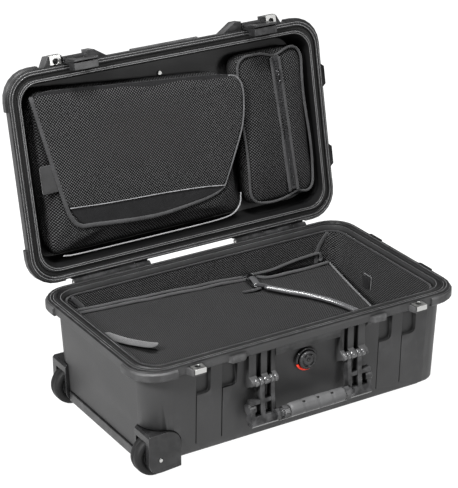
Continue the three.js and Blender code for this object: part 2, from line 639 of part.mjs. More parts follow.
function innerTube(side) {
  const { x0, x1, railY, railHalf, tubeZ0, tubeZ1 } = TROLLEY;
  const clearance = 1.5 + 0.5;
  const wall = 1.5;
  const tube = (shrink, extra) =>
    endBox(
      side, x0 + 16 - extra, x1 + 6.4 + extra, railY - railHalf + clearance + shrink,
      railY + railHalf - clearance - shrink, tubeZ0 + clearance + shrink, tubeZ1 - clearance - shrink,
    );
  return tube(0, 0).subtract(tube(wall, 1));
}

function trolleyGrip() {
  const { x1, railY, railHalf } = TROLLEY;
  const start = x1 + 6.7;
  const end = x1 + 26;
  const halfY = railY + railHalf + 6;
  const outline = new THREE.Shape();
  outline.moveTo(start, -halfY);
  outline.lineTo(end - 8, -halfY);
  outline.absarc(end - 8, -halfY + 8, 8, -Math.PI / 2, 0, false);
  outline.lineTo(end, halfY - 8);
  outline.absarc(end - 8, halfY - 8, 8, 0, Math.PI / 2, false);
  outline.lineTo(start, halfY);
  const bar = prism("z", outline, 3.2, 21.2);
  const fingers = box(start - 1, start + 7, -railY + railHalf + 3, railY - railHalf - 3, 0, 30);
  const buttonPocket = box(end - 8, end + 1, -15, 15, 7.5, 17);
  return bar.subtract(fingers).subtract(buttonPocket);
}

function trolleyButton() {
  const end = TROLLEY.x1 + 26;
  return box(end - 4, end + 3, -15 + GAP, 15 - GAP, 7.5 + GAP, 17 - GAP);
}

// ---------------------------------------------------------------- base lining
// Height of the cover panel's top face, lower towards the front right.
function panelTop(x, y) {
  const u = (x - PANEL.left) / (PANEL.right - PANEL.left);
  const v = (y - PANEL.front) / (PANEL.rear - PANEL.front);
  const { frontLeft, frontRight, rearLeft, rearRight } = PANEL_HEIGHTS;
  return (1 - v) * ((1 - u) * frontLeft + u * frontRight) + v * ((1 - u) * rearLeft + u * rearRight);
}

// A solid of even thickness that follows the panel's slope, over a rounded outline.
function sheetOnPanel(outline, above, thickness) {
  const at = (offset) => outline.map((p) => new THREE.Vector3(p.x, p.y, panelTop(p.x, p.y) + above + offset));
  return loft([at(0), at(thickness)]);
}

// Rings of shrinking size over the panel's slope, so that its faces follow the twist.
function coverPanel() {
  const { left, right, front, rear, thickness } = PANEL;
  const centreX = (left + right) / 2;
  const centreY = (front + rear) / 2;
  const flat = ring((right - left) / 2, (rear - front) / 2, 22, 0, 5);
  const shrunk = (scale, lift) =>
    flat.map((p) => {
      const [x, y] = [p.x * scale + centreX, p.y * scale + centreY];
      const narrowed = x - PANEL.taper * ((x - left) / (right - left)) * ((rear - y) / (rear - front));
      return new THREE.Vector3(narrowed, y, panelTop(narrowed, y) + lift);
    });
  const scales = [0.05, 0.4, 0.75, 1];
  const under = scales.map((scale) => shrunk(scale, -thickness));
  const over = scales.map((scale) => shrunk(scale, 0)).reverse();
  return loft([...under, ...over]);
}

// The rolled carrying strap that lies across the panel.
function carryStrap() {
  const radius = 4.5;
  const points = [[74, 75], [96, 51], [125, 22], [146, -7], [160, -38], [168, -64]];
  const route = points.map(([x, y]) => new THREE.Vector3(x, y, panelTop(x, y) + radius + 1.6));
  const path = new THREE.CatmullRomCurve3(route);
  const section = new THREE.Shape();
  section.absarc(0, 0, radius, 0, 2 * Math.PI, false);
  return solid(new THREE.ExtrudeGeometry(section, { steps: 14, extrudePath: path, curveSegments: 4 }));
}

function pullTab() {
  const [from, to] = [new THREE.Vector2(-226, 34), new THREE.Vector2(-184, -50)];
  const across = to.clone().sub(from).normalize();
  const half = new THREE.Vector2(-across.y, across.x).multiplyScalar(9);
  const corners = [from.clone().sub(half), to.clone().sub(half), to.clone().add(half), from.clone().add(half)];
  const outline = corners.map((p) => new THREE.Vector3(p.x, p.y, 0)).reverse();
  return sheetOnPanel(outline, 1.2, 1.6);
}

// The height of the zip along the rear of the panel.
const zipHeight = (x) => panelTop(x, PANEL.rear) + 1;

function baseZipChain() {
  const [x0, x1] = [PANEL.left + 12, PANEL.right - 10];
  const [y0, y1] = [PANEL.rear + 0.8, PANEL.rear + 7];
  const outline = [[x0, zipHeight(x0) - 2], [x1, zipHeight(x1) - 2], [x1, zipHeight(x1)], [x0, zipHeight(x0)]];
  return prism("y", outline, y0, y1);
}

function baseZipSlider() {
  const [x0, x1] = [71, 85];
  const lift = 0.5;
  const [left, right] = [zipHeight(x0), zipHeight(x1)];
  const outline = [[x0, left + lift], [x1, right + lift], [x1, right + 5], [x0, left + 5]];
  return prism("y", outline, PANEL.rear + 0.2, PANEL.rear + 6.8);
}

function linerWalls() {
  const [z0, z1] = [BASE_FLOOR + 7, 169];
  const outer = baseSpace(0.6, z0, z1);
  return outer.subtract(baseSpace(0.6 + LINER, z0 - 1, z1 + 1)).subtract(wheelWells(WELL_WALL + 0.5))
    .subtract(rod("y", 13, -140, -120, 0, VALVE.z));
}

function floorPad() {
  return baseSpace(0.8, BASE_FLOOR + 0.4, BASE_FLOOR + 6.4).subtract(wheelWells(WELL_WALL + 0.5));
}

// ---------------------------------------------------------------- lid organiser (drawn closed)
function polygonRing(points, radius, z, inset = 0) {
  const shape = [];
  const steps = 4;
  const centre = new THREE.Vector2();
  points.forEach(([x, y]) => centre.add(new THREE.Vector2(x, y).divideScalar(points.length)));
  points.forEach((point, i) => {
    const corner = new THREE.Vector2(...point);
    const before = new THREE.Vector2(...points.at(i - 1)).sub(corner).normalize();
    const after = new THREE.Vector2(...points[(i + 1) % points.length]).sub(corner).normalize();
    const start = corner.clone().addScaledVector(before, radius);
    const end = corner.clone().addScaledVector(after, radius);
    const curve = new THREE.QuadraticBezierCurve(start, corner, end);
    shape.push(...curve.getPoints(steps));
  });
  return shape.map((p) => {
    const inward = centre.clone().sub(p).normalize().multiplyScalar(inset);
    return new THREE.Vector3(p.x + inward.x, p.y + inward.y, z);
  });
}

// A padded pouch: a rounded outline with its front edge drawn in.
function pouch(points, radius, face) {
  return loft([
    polygonRing(points, radius, face, 6),
    polygonRing(points, radius, face + 4, 1),
    polygonRing(points, radius, face + 8, 0),
    polygonRing(points, radius, POUCH_BACK, 0),
  ]);
}

const LAPTOP_OUTLINE = [[-238, -126], [103, -93], [103, 126], [-234, 126]];
const ACCESSORY_OUTLINE = [[115, -122], [241, -122], [241, 120], [115, 120]];
const FLAP_OUTLINE = [[-237, -121], [119, -89], [112, -20], [66, 80], [-60, 94], [-180, 84], [-204, 40]];

function laptopFlap() {
  const z1 = POUCH_FACE - 0.6;
  return loft([polygonRing(FLAP_OUTLINE, 12, z1 - FLAP_THICKNESS), polygonRing(FLAP_OUTLINE, 12, z1)]);
}

const LID_ZIP = { from: [187, -104], to: [197, 98], half: 6, slider: [188.3, -84] };

function stripAlong(from, to, half, z0, z1) {
  const start = new THREE.Vector2(...from);
  const end = new THREE.Vector2(...to);
  const side = end.clone().sub(start).normalize();
  const across = new THREE.Vector2(side.y, -side.x).multiplyScalar(half);
  const nearSide = [start.clone().add(across), end.clone().add(across)];
  const corners = [...nearSide, end.clone().sub(across), start.clone().sub(across)];
  return prism("z", corners.map((p) => [p.x, p.y]), z0, z1);
}

function lidZipChain() {
  return stripAlong(LID_ZIP.from, LID_ZIP.to, LID_ZIP.half, ACCESSORY_FACE - 2, ACCESSORY_FACE - GAP);
}

function lidZipSlider() {
  const [x, y] = LID_ZIP.slider;
  const slope = (LID_ZIP.to[0] - LID_ZIP.from[0]) / (LID_ZIP.to[1] - LID_ZIP.from[1]);
  return stripAlong([x, y], [x + 14 * slope, y + 14], 4, ACCESSORY_FACE - 7, ACCESSORY_FACE - 2 - GAP);
}

// ---------------------------------------------------------------- assembly
const flightCase = new THREE.Group();
const lidPivot = new THREE.Group();
lidPivot.position.set(0, HINGE.y, HINGE.z);
lidPivot.rotation.x = -LID_ANGLE;
const lid = new THREE.Group();
lid.position.set(0, -HINGE.y, -HINGE.z);
lidPivot.add(lid);
flightCase.add(lidPivot);

function place(group, name, made, material) {
  const mesh = new THREE.Mesh(geometryOf(made), material);
  mesh.name = name;
  group.add(mesh);
}

// One piece for each side, named left (towards -X) and right.
function placePair(group, name, make, material) {
  place(group, name + "_left", make(-1), material);
  place(group, name + "_right", make(1), material);
}

// One piece for each side, named front (towards -Y) and rear.
function placeFrontRear(group, name, make, material) {
  place(group, name + "_front", make(-1), material);
  place(group, name + "_rear", make(1), material);
}

place(flightCase, "base_shell", baseShell(), SHELL);
placePair(flightCase, "hinge_pin", (side) => {
  const from = side * HINGE.centre - HINGE.width / 2;
  return rod("x", HINGE.pin, from, from + HINGE.width, HINGE.y, HINGE.z, 12);
}, STEEL);
placePair(flightCase, "base_padlock_plate", (side) => padlockPlate(side, 170.5 + GAP, 164.5), STEEL);
place(flightCase, "valve_body", valveBody(), MOULDED);
place(flightCase, "valve_seal", valveSeal(), RED_RUBBER);
place(flightCase, "valve_knob", valveKnob(), MOULDED);

placePair(flightCase, "handle_pin", (side) => {
  const [x0, x1] = side > 0 ? [56.5, 97.5] : [-97.5, -56.5];
  return rod("x", 2.4, x0, x1, HANDLE.pivotY, HANDLE.pivotZ, 12);
}, STEEL);
place(flightCase, "handle_frame", handleFrame(), MOULDED);
place(flightCase, "handle_grip", handleGrip(), RUBBER);

placeFrontRear(flightCase, "side_handle_pin", (side) => {
  const { pivotX, pivotZ, half } = SIDE_HANDLE;
  const [y0, y1] = side > 0 ? [half - 11.5, half + 9.5] : [-half - 9.5, -half + 11.5];
  return rod("y", 2.4, y0, y1, pivotX, pivotZ, 12);
}, STEEL);
place(flightCase, "side_handle_frame", sideHandleFrame(), MOULDED);
place(flightCase, "side_handle_grip", sideHandleGrip(), RUBBER);

placeFrontRear(flightCase, "wheel_housing", wheelHousing, MOULDED);
placeFrontRear(flightCase, "wheel_tyre", wheelTyre, RUBBER);
placeFrontRear(flightCase, "wheel_hub", wheelHub, MOULDED);
placeFrontRear(flightCase, "wheel_axle", wheelAxle, STEEL);
place(flightCase, "end_bumper", box(-252, -244 - GAP, -103.5, 103.5, 14, 29), MOULDED);

place(flightCase, "trolley_housing", trolleyHousing(), MOULDED);
place(flightCase, "trolley_cover_plate", trolleyPlate(), MOULDED);
placeFrontRear(flightCase, "outer_tube", outerTube, ALUMINIUM);
place(flightCase, "trolley_collar", trolleyCollar(), MOULDED);
placeFrontRear(flightCase, "inner_tube", innerTube, ALUMINIUM);
place(flightCase, "trolley_grip", trolleyGrip(), MOULDED);
place(flightCase, "trolley_button", trolleyButton(), RUBBER);

place(flightCase, "liner_walls", linerWalls(), FABRIC);
place(flightCase, "floor_pad", floorPad(), FABRIC);
place(flightCase, "cover_panel", coverPanel(), FABRIC);
place(flightCase, "carry_strap", carryStrap(), RUBBER);
place(flightCase, "pull_tab", pullTab(), FABRIC);
place(flightCase, "base_zip_chain", baseZipChain(), FABRIC);
place(flightCase, "base_zip_slider", baseZipSlider(), MOULDED);

place(lid, "lid_shell", lidShell(), SHELL);
place(lid, "lid_gasket", lidGasket(), RUBBER);
placePair(lid, "lid_padlock_plate", (side) => padlockPlate(side, PARTING + 3 - GAP - 1.6, 186), STEEL);
placePair(lid, "latch_pin", (side) => {
  const [x0, x1] = side > 0 ? [129.5, 179.5] : [-179.5, -129.5];
  return rod("x", 2, x0, x1, LATCH.pinY, LATCH.pinZ, 12);
}, STEEL);
placePair(lid, "latch_clip", latchClip, MOULDED);
placePair(lid, "lever_pin", (side) => {
  const from = side * LATCH.centre - LATCH.width / 2 + 0.5;
  return rod("x", 1.6, from, from + LATCH.width - 1, LATCH.leverPinY, LATCH.leverPinZ, 12);
}, STEEL);
placePair(lid, "latch_lever", latchLever, MOULDED);
place(lid, "laptop_pouch", pouch(LAPTOP_OUTLINE, 16, POUCH_FACE), FABRIC);
place(lid, "laptop_flap", laptopFlap(), FABRIC);
place(lid, "accessory_pouch", pouch(ACCESSORY_OUTLINE, 18, ACCESSORY_FACE), FABRIC);
place(lid, "lid_zip_chain", lidZipChain(), FABRIC);
place(lid, "lid_zip_slider", lidZipSlider(), MOULDED);
place(lid, "lid_stud", rod("z", 3.2, LID_CEILING - 3.5, LID_CEILING - GAP, 4, -112, 12), STEEL);

export default flightCase;
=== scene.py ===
# The looks of the rolling flight case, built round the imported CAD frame.
# Lengths here are in millimetres and become metres when a mesh is made. Pieces in the lid are drawn with the
# lid closed, and their objects are turned about the hinge line by LID, as the CAD does.
import json
import math

import bmesh
import bpy
from mathutils import Matrix, Vector, noise

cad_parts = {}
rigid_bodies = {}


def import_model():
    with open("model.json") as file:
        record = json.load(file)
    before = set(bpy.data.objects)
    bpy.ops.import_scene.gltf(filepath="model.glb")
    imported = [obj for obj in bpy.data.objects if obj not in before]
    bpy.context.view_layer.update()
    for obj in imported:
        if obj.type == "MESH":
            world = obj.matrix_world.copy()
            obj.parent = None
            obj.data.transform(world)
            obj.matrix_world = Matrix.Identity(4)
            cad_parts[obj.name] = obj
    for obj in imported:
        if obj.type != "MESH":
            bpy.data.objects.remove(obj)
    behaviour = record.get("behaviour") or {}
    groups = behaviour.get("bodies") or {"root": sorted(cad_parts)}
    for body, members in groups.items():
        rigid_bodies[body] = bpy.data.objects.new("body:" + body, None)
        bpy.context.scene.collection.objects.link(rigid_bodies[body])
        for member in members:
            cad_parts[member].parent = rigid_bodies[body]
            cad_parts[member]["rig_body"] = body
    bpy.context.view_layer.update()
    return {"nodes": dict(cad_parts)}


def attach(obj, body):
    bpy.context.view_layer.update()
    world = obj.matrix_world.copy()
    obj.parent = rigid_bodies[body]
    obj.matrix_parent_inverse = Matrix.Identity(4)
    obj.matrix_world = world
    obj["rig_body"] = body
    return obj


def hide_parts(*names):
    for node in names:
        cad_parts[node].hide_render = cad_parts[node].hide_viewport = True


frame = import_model()
nodes = frame["nodes"]

MM = 0.001
HINGE_Y, HINGE_Z = 166.0, 172.0
LID_ANGLE = math.radians(101.5)
PARTING = 175.0
BASE_FLOOR = 28.0
SHELL_DRAFT = 10.5
RIM_X, RIM_Y, RIM_RADIUS = 270.5, 159.5, 41.7
INSIDE_X, INSIDE_Y, INSIDE_RADIUS = 250.5, 139.5, 30.0
PANEL_LEFT, PANEL_RIGHT, PANEL_FRONT, PANEL_REAR = -239.0, 226.0, -127.0, 121.0
PANEL_HEIGHTS = (150.0, 98.0, 144.0, 119.0)
PANEL_THICKNESS = 9.0
PANEL_TAPER = 27.0
POUCH_FACE, POUCH_BACK, ACCESSORY_FACE, POUCH_SEAM = 172.6, 215.0, 177.0, 6.0
FLAP_FACE, FLAP_THICKNESS = 168.6, 3.4
LAPTOP_OUTLINE = [(-238, -132), (103, -101), (103, 126), (-234, 126)]
ACCESSORY_OUTLINE = [(115, -122), (241, -122), (241, 120), (115, 120)]
FLAP_OUTLINE = [
    (-237, -121), (-214, -127), (80, -101), (108, -95), (119, -74),
    (114, -20), (66, 80), (-60, 94), (-180, 84), (-204, 40),
]
FLAP_PAD_OUTLINE = [
    (-236, -120), (-214, -126), (80, -100), (106, -94), (117, -74), (111, -20),
    (68, 71), (-40, 61), (-130, 57), (-198, 52), (-206, 34),
]
FLAP_LEFT_EDGE = [
    (-236.5, -121), (-222, -46), (-205.5, 38), (-198, 66), (-184, 82.5),
    (-160, 86), (-60, 94), (20, 88), (52, 82), (66, 76),
]
FLAP_RIGHT_EDGE = [(96, -96), (109, -92), (118, -79), (119, -54), (112, -16), (92, 28), (67, 76)]
FLAP_POCKET_LIP = [(-198, 53), (-130, 58), (-40, 62), (30, 67), (68, 72)]
LID_ZIP_FROM, LID_ZIP_TO = (187, -104), (197, 98)
LINER_POINTS, LINER_INSET = 200, 5.2
ZIP_TOP = 175.6
ZIP_Y = 124.9
BASE_ZIP_LEFT, BASE_ZIP_RIGHT = -227.0, 216.0
GAP_START = 90.0
SLIDER_X, SLIDER_LIFT = 78.0, 1.6
TOOTH_PITCH, TOOTH_HALF = 2.6, (0.75, 1.3, 0.7)
STRAP_ROUTE = [(74, 75), (96, 51), (125, 22), (146, -7), (160, -38), (168, -64)]
STRAP_RADIUS = 4.5
TAB_ROUTE = [
    (-227, 36, 2.4), (-222, 18, 3.0), (-213, -4, 4.2),
    (-203, -24, 6.5), (-194, -40, 9.0), (-186, -52, 12.0),
]
GRIP_HALF, GRIP_RADIUS, GRIP_CORE, GRIP_Y, GRIP_Z = 47.0, 10.5, 6.3, -180.0, 70.0
RIM_GAP, BEAD_RADIUS, BEAD_PROUD = 0.3, 0.9, 0.13
GRIP_GROOVES = (-24, 0, 24)
PIVOT_Y, PIVOT_Z = -162.0, 118.0
KNUCKLE_SPANS = (
    (56.4, 61.8, "base"),
    (62.6, 68.4, "front_handle"),
    (69.2, 78.8, "base"),
    (79.6, 86.4, "front_handle"),
    (87.2, 93.4, "base"),
)
SIDE_GRIP_X, SIDE_GRIP_Z, SIDE_GRIP_HALF, SIDE_GRIP_CORE = 270.0, 92.0, 34.0, 5.4
VALVE_Z, VALVE_RING = 127.0, 16.0
WHEEL_X, WHEEL_Z, WHEEL_MID, WHEEL_WIDTH = -238.0, 31.0, 124.0, 23.0
LID = (
    Matrix.Translation(Vector((0, HINGE_Y, HINGE_Z)) * MM)
    @ Matrix.Rotation(-LID_ANGLE, 4, "X")
    @ Matrix.Translation(Vector((0, -HINGE_Y, -HINGE_Z)) * MM)
)
HOME = Matrix.Identity(4)
BOX_CORNERS = [(sx, sy, sz) for sz in (-1, 1) for sx, sy in ((-1, -1), (1, -1), (1, 1), (-1, 1))]
BOX_FACES = ((0, 3, 2, 1), (4, 5, 6, 7), (0, 1, 5, 4), (1, 2, 6, 5), (2, 3, 7, 6), (3, 0, 4, 7))

CLOTH_VOXEL, CLOTH_PRESSURE, CLOTH_FRAMES = 5.0, 4.0, 20
CLOTH_STIFFNESS, CLOTH_BENDING = 25, 2.0
CLOUD_LOW, CLOUD_HIGH = 0.3, 0.7
NARROW_GAP, OPEN_SURFACE = 0.2, 0.74

# Metres and degrees from here on.
CAMERA_TURN, CAMERA_PLACE, CAMERA_LENS = (-31.248, 23.79, -0.322), (-1.3578, -2.1797, 1.3810), 141.4
LIGHTS = (
    ("key", (-2.3, -0.8, 2.0), (0, 0.05, 0.2), (0.6, 0.6), 150),
    ("top", (-0.4, -0.6, 2.7), (0, 0.1, 0.2), (0.7, 0.5), 120),
    ("fill", (0.9, -2.4, 1.0), (0, 0, 0.2), (0.5, 0.5), 22),
)
WORLD_STRENGTH = 0.2
FLOOR_REACH, FLOOR_HEIGHT = 6.0, -0.0006


# ------------------------------------------------------------------ camera, light and floor
def make_camera():
    heading, pitch, roll = (math.radians(a) for a in CAMERA_TURN)
    level = math.cos(pitch)
    back = Vector((math.sin(heading) * level, -math.cos(heading) * level, math.sin(pitch)))
    right = (-back).cross(Vector((0, 0, 1))).normalized()
    up = right.cross(-back)
    right, up = (
        right * math.cos(roll) + up * math.sin(roll),
        up * math.cos(roll) - right * math.sin(roll),
    )
    data = bpy.data.cameras.new("camera")
    data.lens = CAMERA_LENS
    data.sensor_width = 36.0
    data.clip_end = 20.0
    camera = bpy.data.objects.new("camera", data)
    rotation = Matrix((right, up, back)).transposed()
    camera.matrix_world = Matrix.Translation(CAMERA_PLACE) @ rotation.to_4x4()
    bpy.context.scene.collection.objects.link(camera)
    bpy.context.scene.camera = camera


def area_light(name, place, aim, size, power):
    data = bpy.data.lights.new(name, "AREA")
    data.shape = "RECTANGLE"
    data.size, data.size_y = size
    data.energy = power
    light = bpy.data.objects.new(name, data)
    light.location = place
    light.rotation_mode = "QUATERNION"
    light.rotation_quaternion = (Vector(aim) - Vector(place)).to_track_quat("-Z", "Y")
    bpy.context.scene.collection.objects.link(light)


def make_light_and_floor():
    world = bpy.data.worlds.new("studio")
    bpy.context.scene.world = world
    world.use_nodes = True
    background = world.node_tree.nodes["Background"]
    background.inputs["Color"].default_value = (1.0, 1.0, 1.0, 1)
    background.inputs["Strength"].default_value = WORLD_STRENGTH
    for name, place, aim, size, power in LIGHTS:
        area_light(name, place, aim, size, power)
    mesh = bpy.data.meshes.new("floor")
    reach = FLOOR_REACH
    corners = [(-reach, -reach, 0), (reach, -reach, 0), (reach, reach, 0), (-reach, reach, 0)]
    mesh.from_pydata(corners, [], [(0, 1, 2, 3)])
    floor = bpy.data.objects.new("floor", mesh)
    floor.location.z = FLOOR_HEIGHT
    bpy.context.scene.collection.objects.link(floor)
    material, _, shader = new_material("floor", (0.12, 0.12, 0.12), 0.9)
    shader.inputs["Specular IOR Level"].default_value = 0.0
    shader.inputs["Emission Color"].default_value = (1, 1, 1, 1)
    shader.inputs["Emission Strength"].default_value = 1.0
    mesh.materials.append(material)
    bpy.context.scene.view_settings.view_transform = "Standard"


# ------------------------------------------------------------------ materials
def new_material(name, colour, roughness, metallic=0.0):
    material = bpy.data.materials.new(name)
    material.use_nodes = True
    tree = material.node_tree
    shader = tree.nodes["Principled BSDF"]
    shader.inputs["Base Color"].default_value = (*colour, 1)
    shader.inputs["Roughness"].default_value = roughness
    shader.inputs["Metallic"].default_value = metallic
    return material, tree, shader


def add_node(tree, kind, inputs=(), **settings):
    node = tree.nodes.new(kind)
    for key, value in settings.items():
        setattr(node, key, value)
    for socket, value in dict(inputs).items():
        if isinstance(value, bpy.types.NodeSocket):
            tree.links.new(value, node.inputs[socket])
        else:
            node.inputs[socket].default_value = value
    return node


def math_node(tree, operation, a, b):
    return add_node(tree, "ShaderNodeMath", {0: a, 1: b}, operation=operation).outputs[0]


def sum_of(tree, a, b, c):
    return math_node(tree, "ADD", math_node(tree, "ADD", a, b), c)


def vector_math(tree, operation, a, **inputs):
    named = {0: a}
    for name, value in inputs.items():
        named[1 if name == "b" else name] = value
    return add_node(tree, "ShaderNodeVectorMath", named, operation=operation).outputs[0]


def split(tree, vector):
    return add_node(tree, "ShaderNodeSeparateXYZ", {0: vector}).outputs


def object_coordinates(tree):
    return add_node(tree, "ShaderNodeTexCoord").outputs


def noise_value(tree, scale, detail=3.0, roughness=0.55):
    coordinates = object_coordinates(tree)["Object"]
    inputs = {"Vector": coordinates, "Scale": scale, "Detail": detail, "Roughness": roughness}
    return add_node(tree, "ShaderNodeTexNoise", inputs).outputs["Fac"]


# Maps a value between two points, each given as (value in, value out).
def ramp(tree, value, low, high):
    inputs = {"Value": value, "From Min": low[0], "From Max": high[0], "To Min": low[1], "To Max": high[1]}
    return add_node(tree, "ShaderNodeMapRange", inputs).outputs["Result"]


# A noise value spread between two results; nearly all of a noise lies between the two ends.
def clouded(tree, value, low, high):
    return ramp(tree, value, (CLOUD_LOW, low), (CLOUD_HIGH, high))


def tinted(colour, share, lift=0.0):
    return tuple(min(1.0, c * share + lift) for c in colour)


def mix_colour(tree, factor, first, second):
    node = tree.nodes.new("ShaderNodeMix")
    node.data_type = "RGBA"
    for index, value in ((0, factor), (6, first), (7, second)):
        if isinstance(value, bpy.types.NodeSocket):
            tree.links.new(value, node.inputs[index])
        elif index:
            node.inputs[index].default_value = (*value, 1)
        else:
            node.inputs[index].default_value = value
    return node.outputs[2]


def bump(tree, height, strength, distance, below=None):
    inputs = {"Height": height, "Strength": strength, "Distance": distance}
    if below is not None:
        inputs["Normal"] = below
    return add_node(tree, "ShaderNodeBump", inputs).outputs["Normal"]


# Painted shade that gathers in recesses, from ambient occlusion: 1 in the open, `floor` at the bottom of a
# narrow gap.
def painted_recess_shade(tree, distance, floor):
    occlusion = add_node(tree, "ShaderNodeAmbientOcclusion", {"Distance": distance}, samples=8)
    return ramp(tree, occlusion.outputs["AO"], (NARROW_GAP, floor), (OPEN_SURFACE, 1.0))


# Moulded plastic: a fine stipple, cloudy gloss, edges painted a little paler for rubbing wear and as a painted
# highlight, and painted shade in recesses.
def plastic(name, colour, roughness, grain=0.00012, grain_scale=900, edge=0.0012, edge_wear_and_highlight=1.9, gloss=0.3):
    material, tree, shader = new_material(name, colour, roughness)
    cloud = noise_value(tree, 9, 4)
    fine = noise_value(tree, grain_scale, 2)
    rounded = add_node(tree, "ShaderNodeBevel", {"Radius": edge}, samples=6).outputs["Normal"]
    edge_pointiness = add_node(tree, "ShaderNodeNewGeometry").outputs["Pointiness"]
    edge_mask = ramp(tree, edge_pointiness, (0.52, 0.0), (0.62, 1.0))
    scuffs = ramp(tree, noise_value(tree, 60, 5), (0.42, 0.0), (0.62, 1.0))
    mask = math_node(tree, "MULTIPLY", edge_mask, scuffs)
    patches = clouded(tree, cloud, 0.0, 1.0)
    ground = mix_colour(tree, patches, tinted(colour, 0.82), tinted(colour, 1.12))
    # Sharp, scuffed edges are painted paler: rubbing wear, and a painted highlight along the edges.
    open_colour = mix_colour(tree, mask, ground, tinted(colour, edge_wear_and_highlight, 0.004))
    # Painted shade: recesses darken towards a tenth of the colour.
    shaded = mix_colour(tree, painted_recess_shade(tree, 0.022, 0.0), tinted(colour, 0.1), open_colour)
    tree.links.new(shaded, shader.inputs["Base Color"])
    uneven = clouded(tree, cloud, roughness - 0.06, roughness + 0.08)
    tree.links.new(uneven, shader.inputs["Roughness"])
    tree.links.new(bump(tree, fine, 0.6, grain, rounded), shader.inputs["Normal"])
    shader.inputs["Specular IOR Level"].default_value = gloss
    return material


# Spacer mesh: a staggered grid of small holes in all three directions, blended by which way the face looks,
# with painted shade that darkens recesses towards the hole colour.
def spacer_mesh(name, yarn, hole_grey, pitch, depth):
    material, tree, shader = new_material(name, yarn, 0.9)
    coordinates = object_coordinates(tree)
    inputs = {"Vector": coordinates["Object"], "Scale": 130.0, "Detail": 2.0}
    wobble = add_node(tree, "ShaderNodeTexNoise", inputs).outputs["Color"]
    shift = vector_math(tree, "SUBTRACT", wobble, b=(0.5, 0.5, 0.5))
    small = vector_math(tree, "SCALE", shift, Scale=0.0011)
    place = vector_math(tree, "ADD", coordinates["Object"], b=small)
    wave = vector_math(tree, "SCALE", place, Scale=2 * math.pi / pitch)
    cx, cy, cz = split(tree, vector_math(tree, "COSINE", wave))
    facing = vector_math(tree, "ABSOLUTE", coordinates["Normal"])
    weights = [math_node(tree, "POWER", share, 6.0) for share in split(tree, facing)]
    terms = []
    for (a, b), weight in zip(((cy, cz), (cx, cz), (cx, cy)), weights):
        terms.append(math_node(tree, "MULTIPLY", math_node(tree, "MULTIPLY", a, b), weight))
    value = math_node(tree, "DIVIDE", sum_of(tree, *terms), sum_of(tree, *weights))
    holes = ramp(tree, value, (-0.5, 0.0), (0.12, 1.0))
    cloud = clouded(tree, noise_value(tree, 14, 3), 0.8, 1.25)
    lit = mix_colour(tree, cloud, tinted(yarn, 0.7), yarn)
    hole = (hole_grey, hole_grey, hole_grey)
    woven_colour = mix_colour(tree, holes, lit, hole)
    # Painted shade: recesses darken towards the hole colour.
    shaded = mix_colour(tree, painted_recess_shade(tree, 0.03, 0.15), hole, woven_colour)
    tree.links.new(shaded, shader.inputs["Base Color"])
    fibre = noise_value(tree, 2600, 2)
    height = math_node(tree, "SUBTRACT", math_node(tree, "MULTIPLY", fibre, 0.25), holes)
    tree.links.new(bump(tree, height, 0.9, depth), shader.inputs["Normal"])
    shader.inputs["Specular IOR Level"].default_value = 0.1
    return material


# Woven tape: close ribs across a slight cloudiness.
def woven(name, colour, roughness=0.75, rib=0.0011, sheen=0.3):
    material, tree, shader = new_material(name, colour, roughness)
    wave = vector_math(tree, "SCALE", object_coordinates(tree)["Object"], Scale=2 * math.pi / rib)
    ribs = sum_of(tree, *split(tree, vector_math(tree, "COSINE", wave)))
    cloud = clouded(tree, noise_value(tree, 40, 4), 0.0, 1.0)
    tint = mix_colour(tree, cloud, tinted(colour, 0.75), tinted(colour, 1.2))
    tree.links.new(tint, shader.inputs["Base Color"])
    tree.links.new(bump(tree, ribs, 0.35, 0.00025), shader.inputs["Normal"])
    shader.inputs["Sheen Weight"].default_value = sheen
    shader.inputs["Specular IOR Level"].default_value = 0.2
    return material


# Soft rubber: matt, with a fine grain and a little dust.
def soft_rubber(name, colour, roughness):
    material, tree, shader = new_material(name, colour, roughness)
    cloud = noise_value(tree, 25, 4)
    dust = ramp(tree, cloud, (0.4, 0.0), (0.75, 0.6))
    tree.links.new(mix_colour(tree, dust, colour, tinted(colour, 1.6, 0.004)), shader.inputs["Base Color"])
    tree.links.new(clouded(tree, cloud, roughness - 0.08, roughness + 0.08), shader.inputs["Roughness"])
    tree.links.new(bump(tree, noise_value(tree, 1500, 2), 0.5, 0.0001), shader.inputs["Normal"])
    shader.inputs["Specular IOR Level"].default_value = 0.22
    return material


# Bright plate or bar stock, with fine lines from brushing and dull patches from handling.
def metal(name, colour, roughness, stretch=(1, 1, 22)):
    material, tree, shader = new_material(name, colour, roughness, 1.0)
    coordinates = object_coordinates(tree)["Object"]
    mapped = add_node(tree, "ShaderNodeMapping", {"Vector": coordinates, "Scale": stretch}).outputs[0]
    inputs = {"Vector": mapped, "Scale": 240.0, "Detail": 4.0}
    lines = add_node(tree, "ShaderNodeTexNoise", inputs).outputs["Fac"]
    smudge = ramp(tree, noise_value(tree, 70, 3), (0.45, 0.0), (0.8, 0.15))
    brushed = clouded(tree, lines, roughness - 0.08, roughness + 0.1)
    tree.links.new(math_node(tree, "ADD", brushed, smudge), shader.inputs["Roughness"])
    rounded = add_node(tree, "ShaderNodeBevel", {"Radius": 0.0005}, samples=4).outputs["Normal"]
    tree.links.new(bump(tree, lines, 0.15, 0.0001, rounded), shader.inputs["Normal"])
    return material


make_camera()
make_light_and_floor()

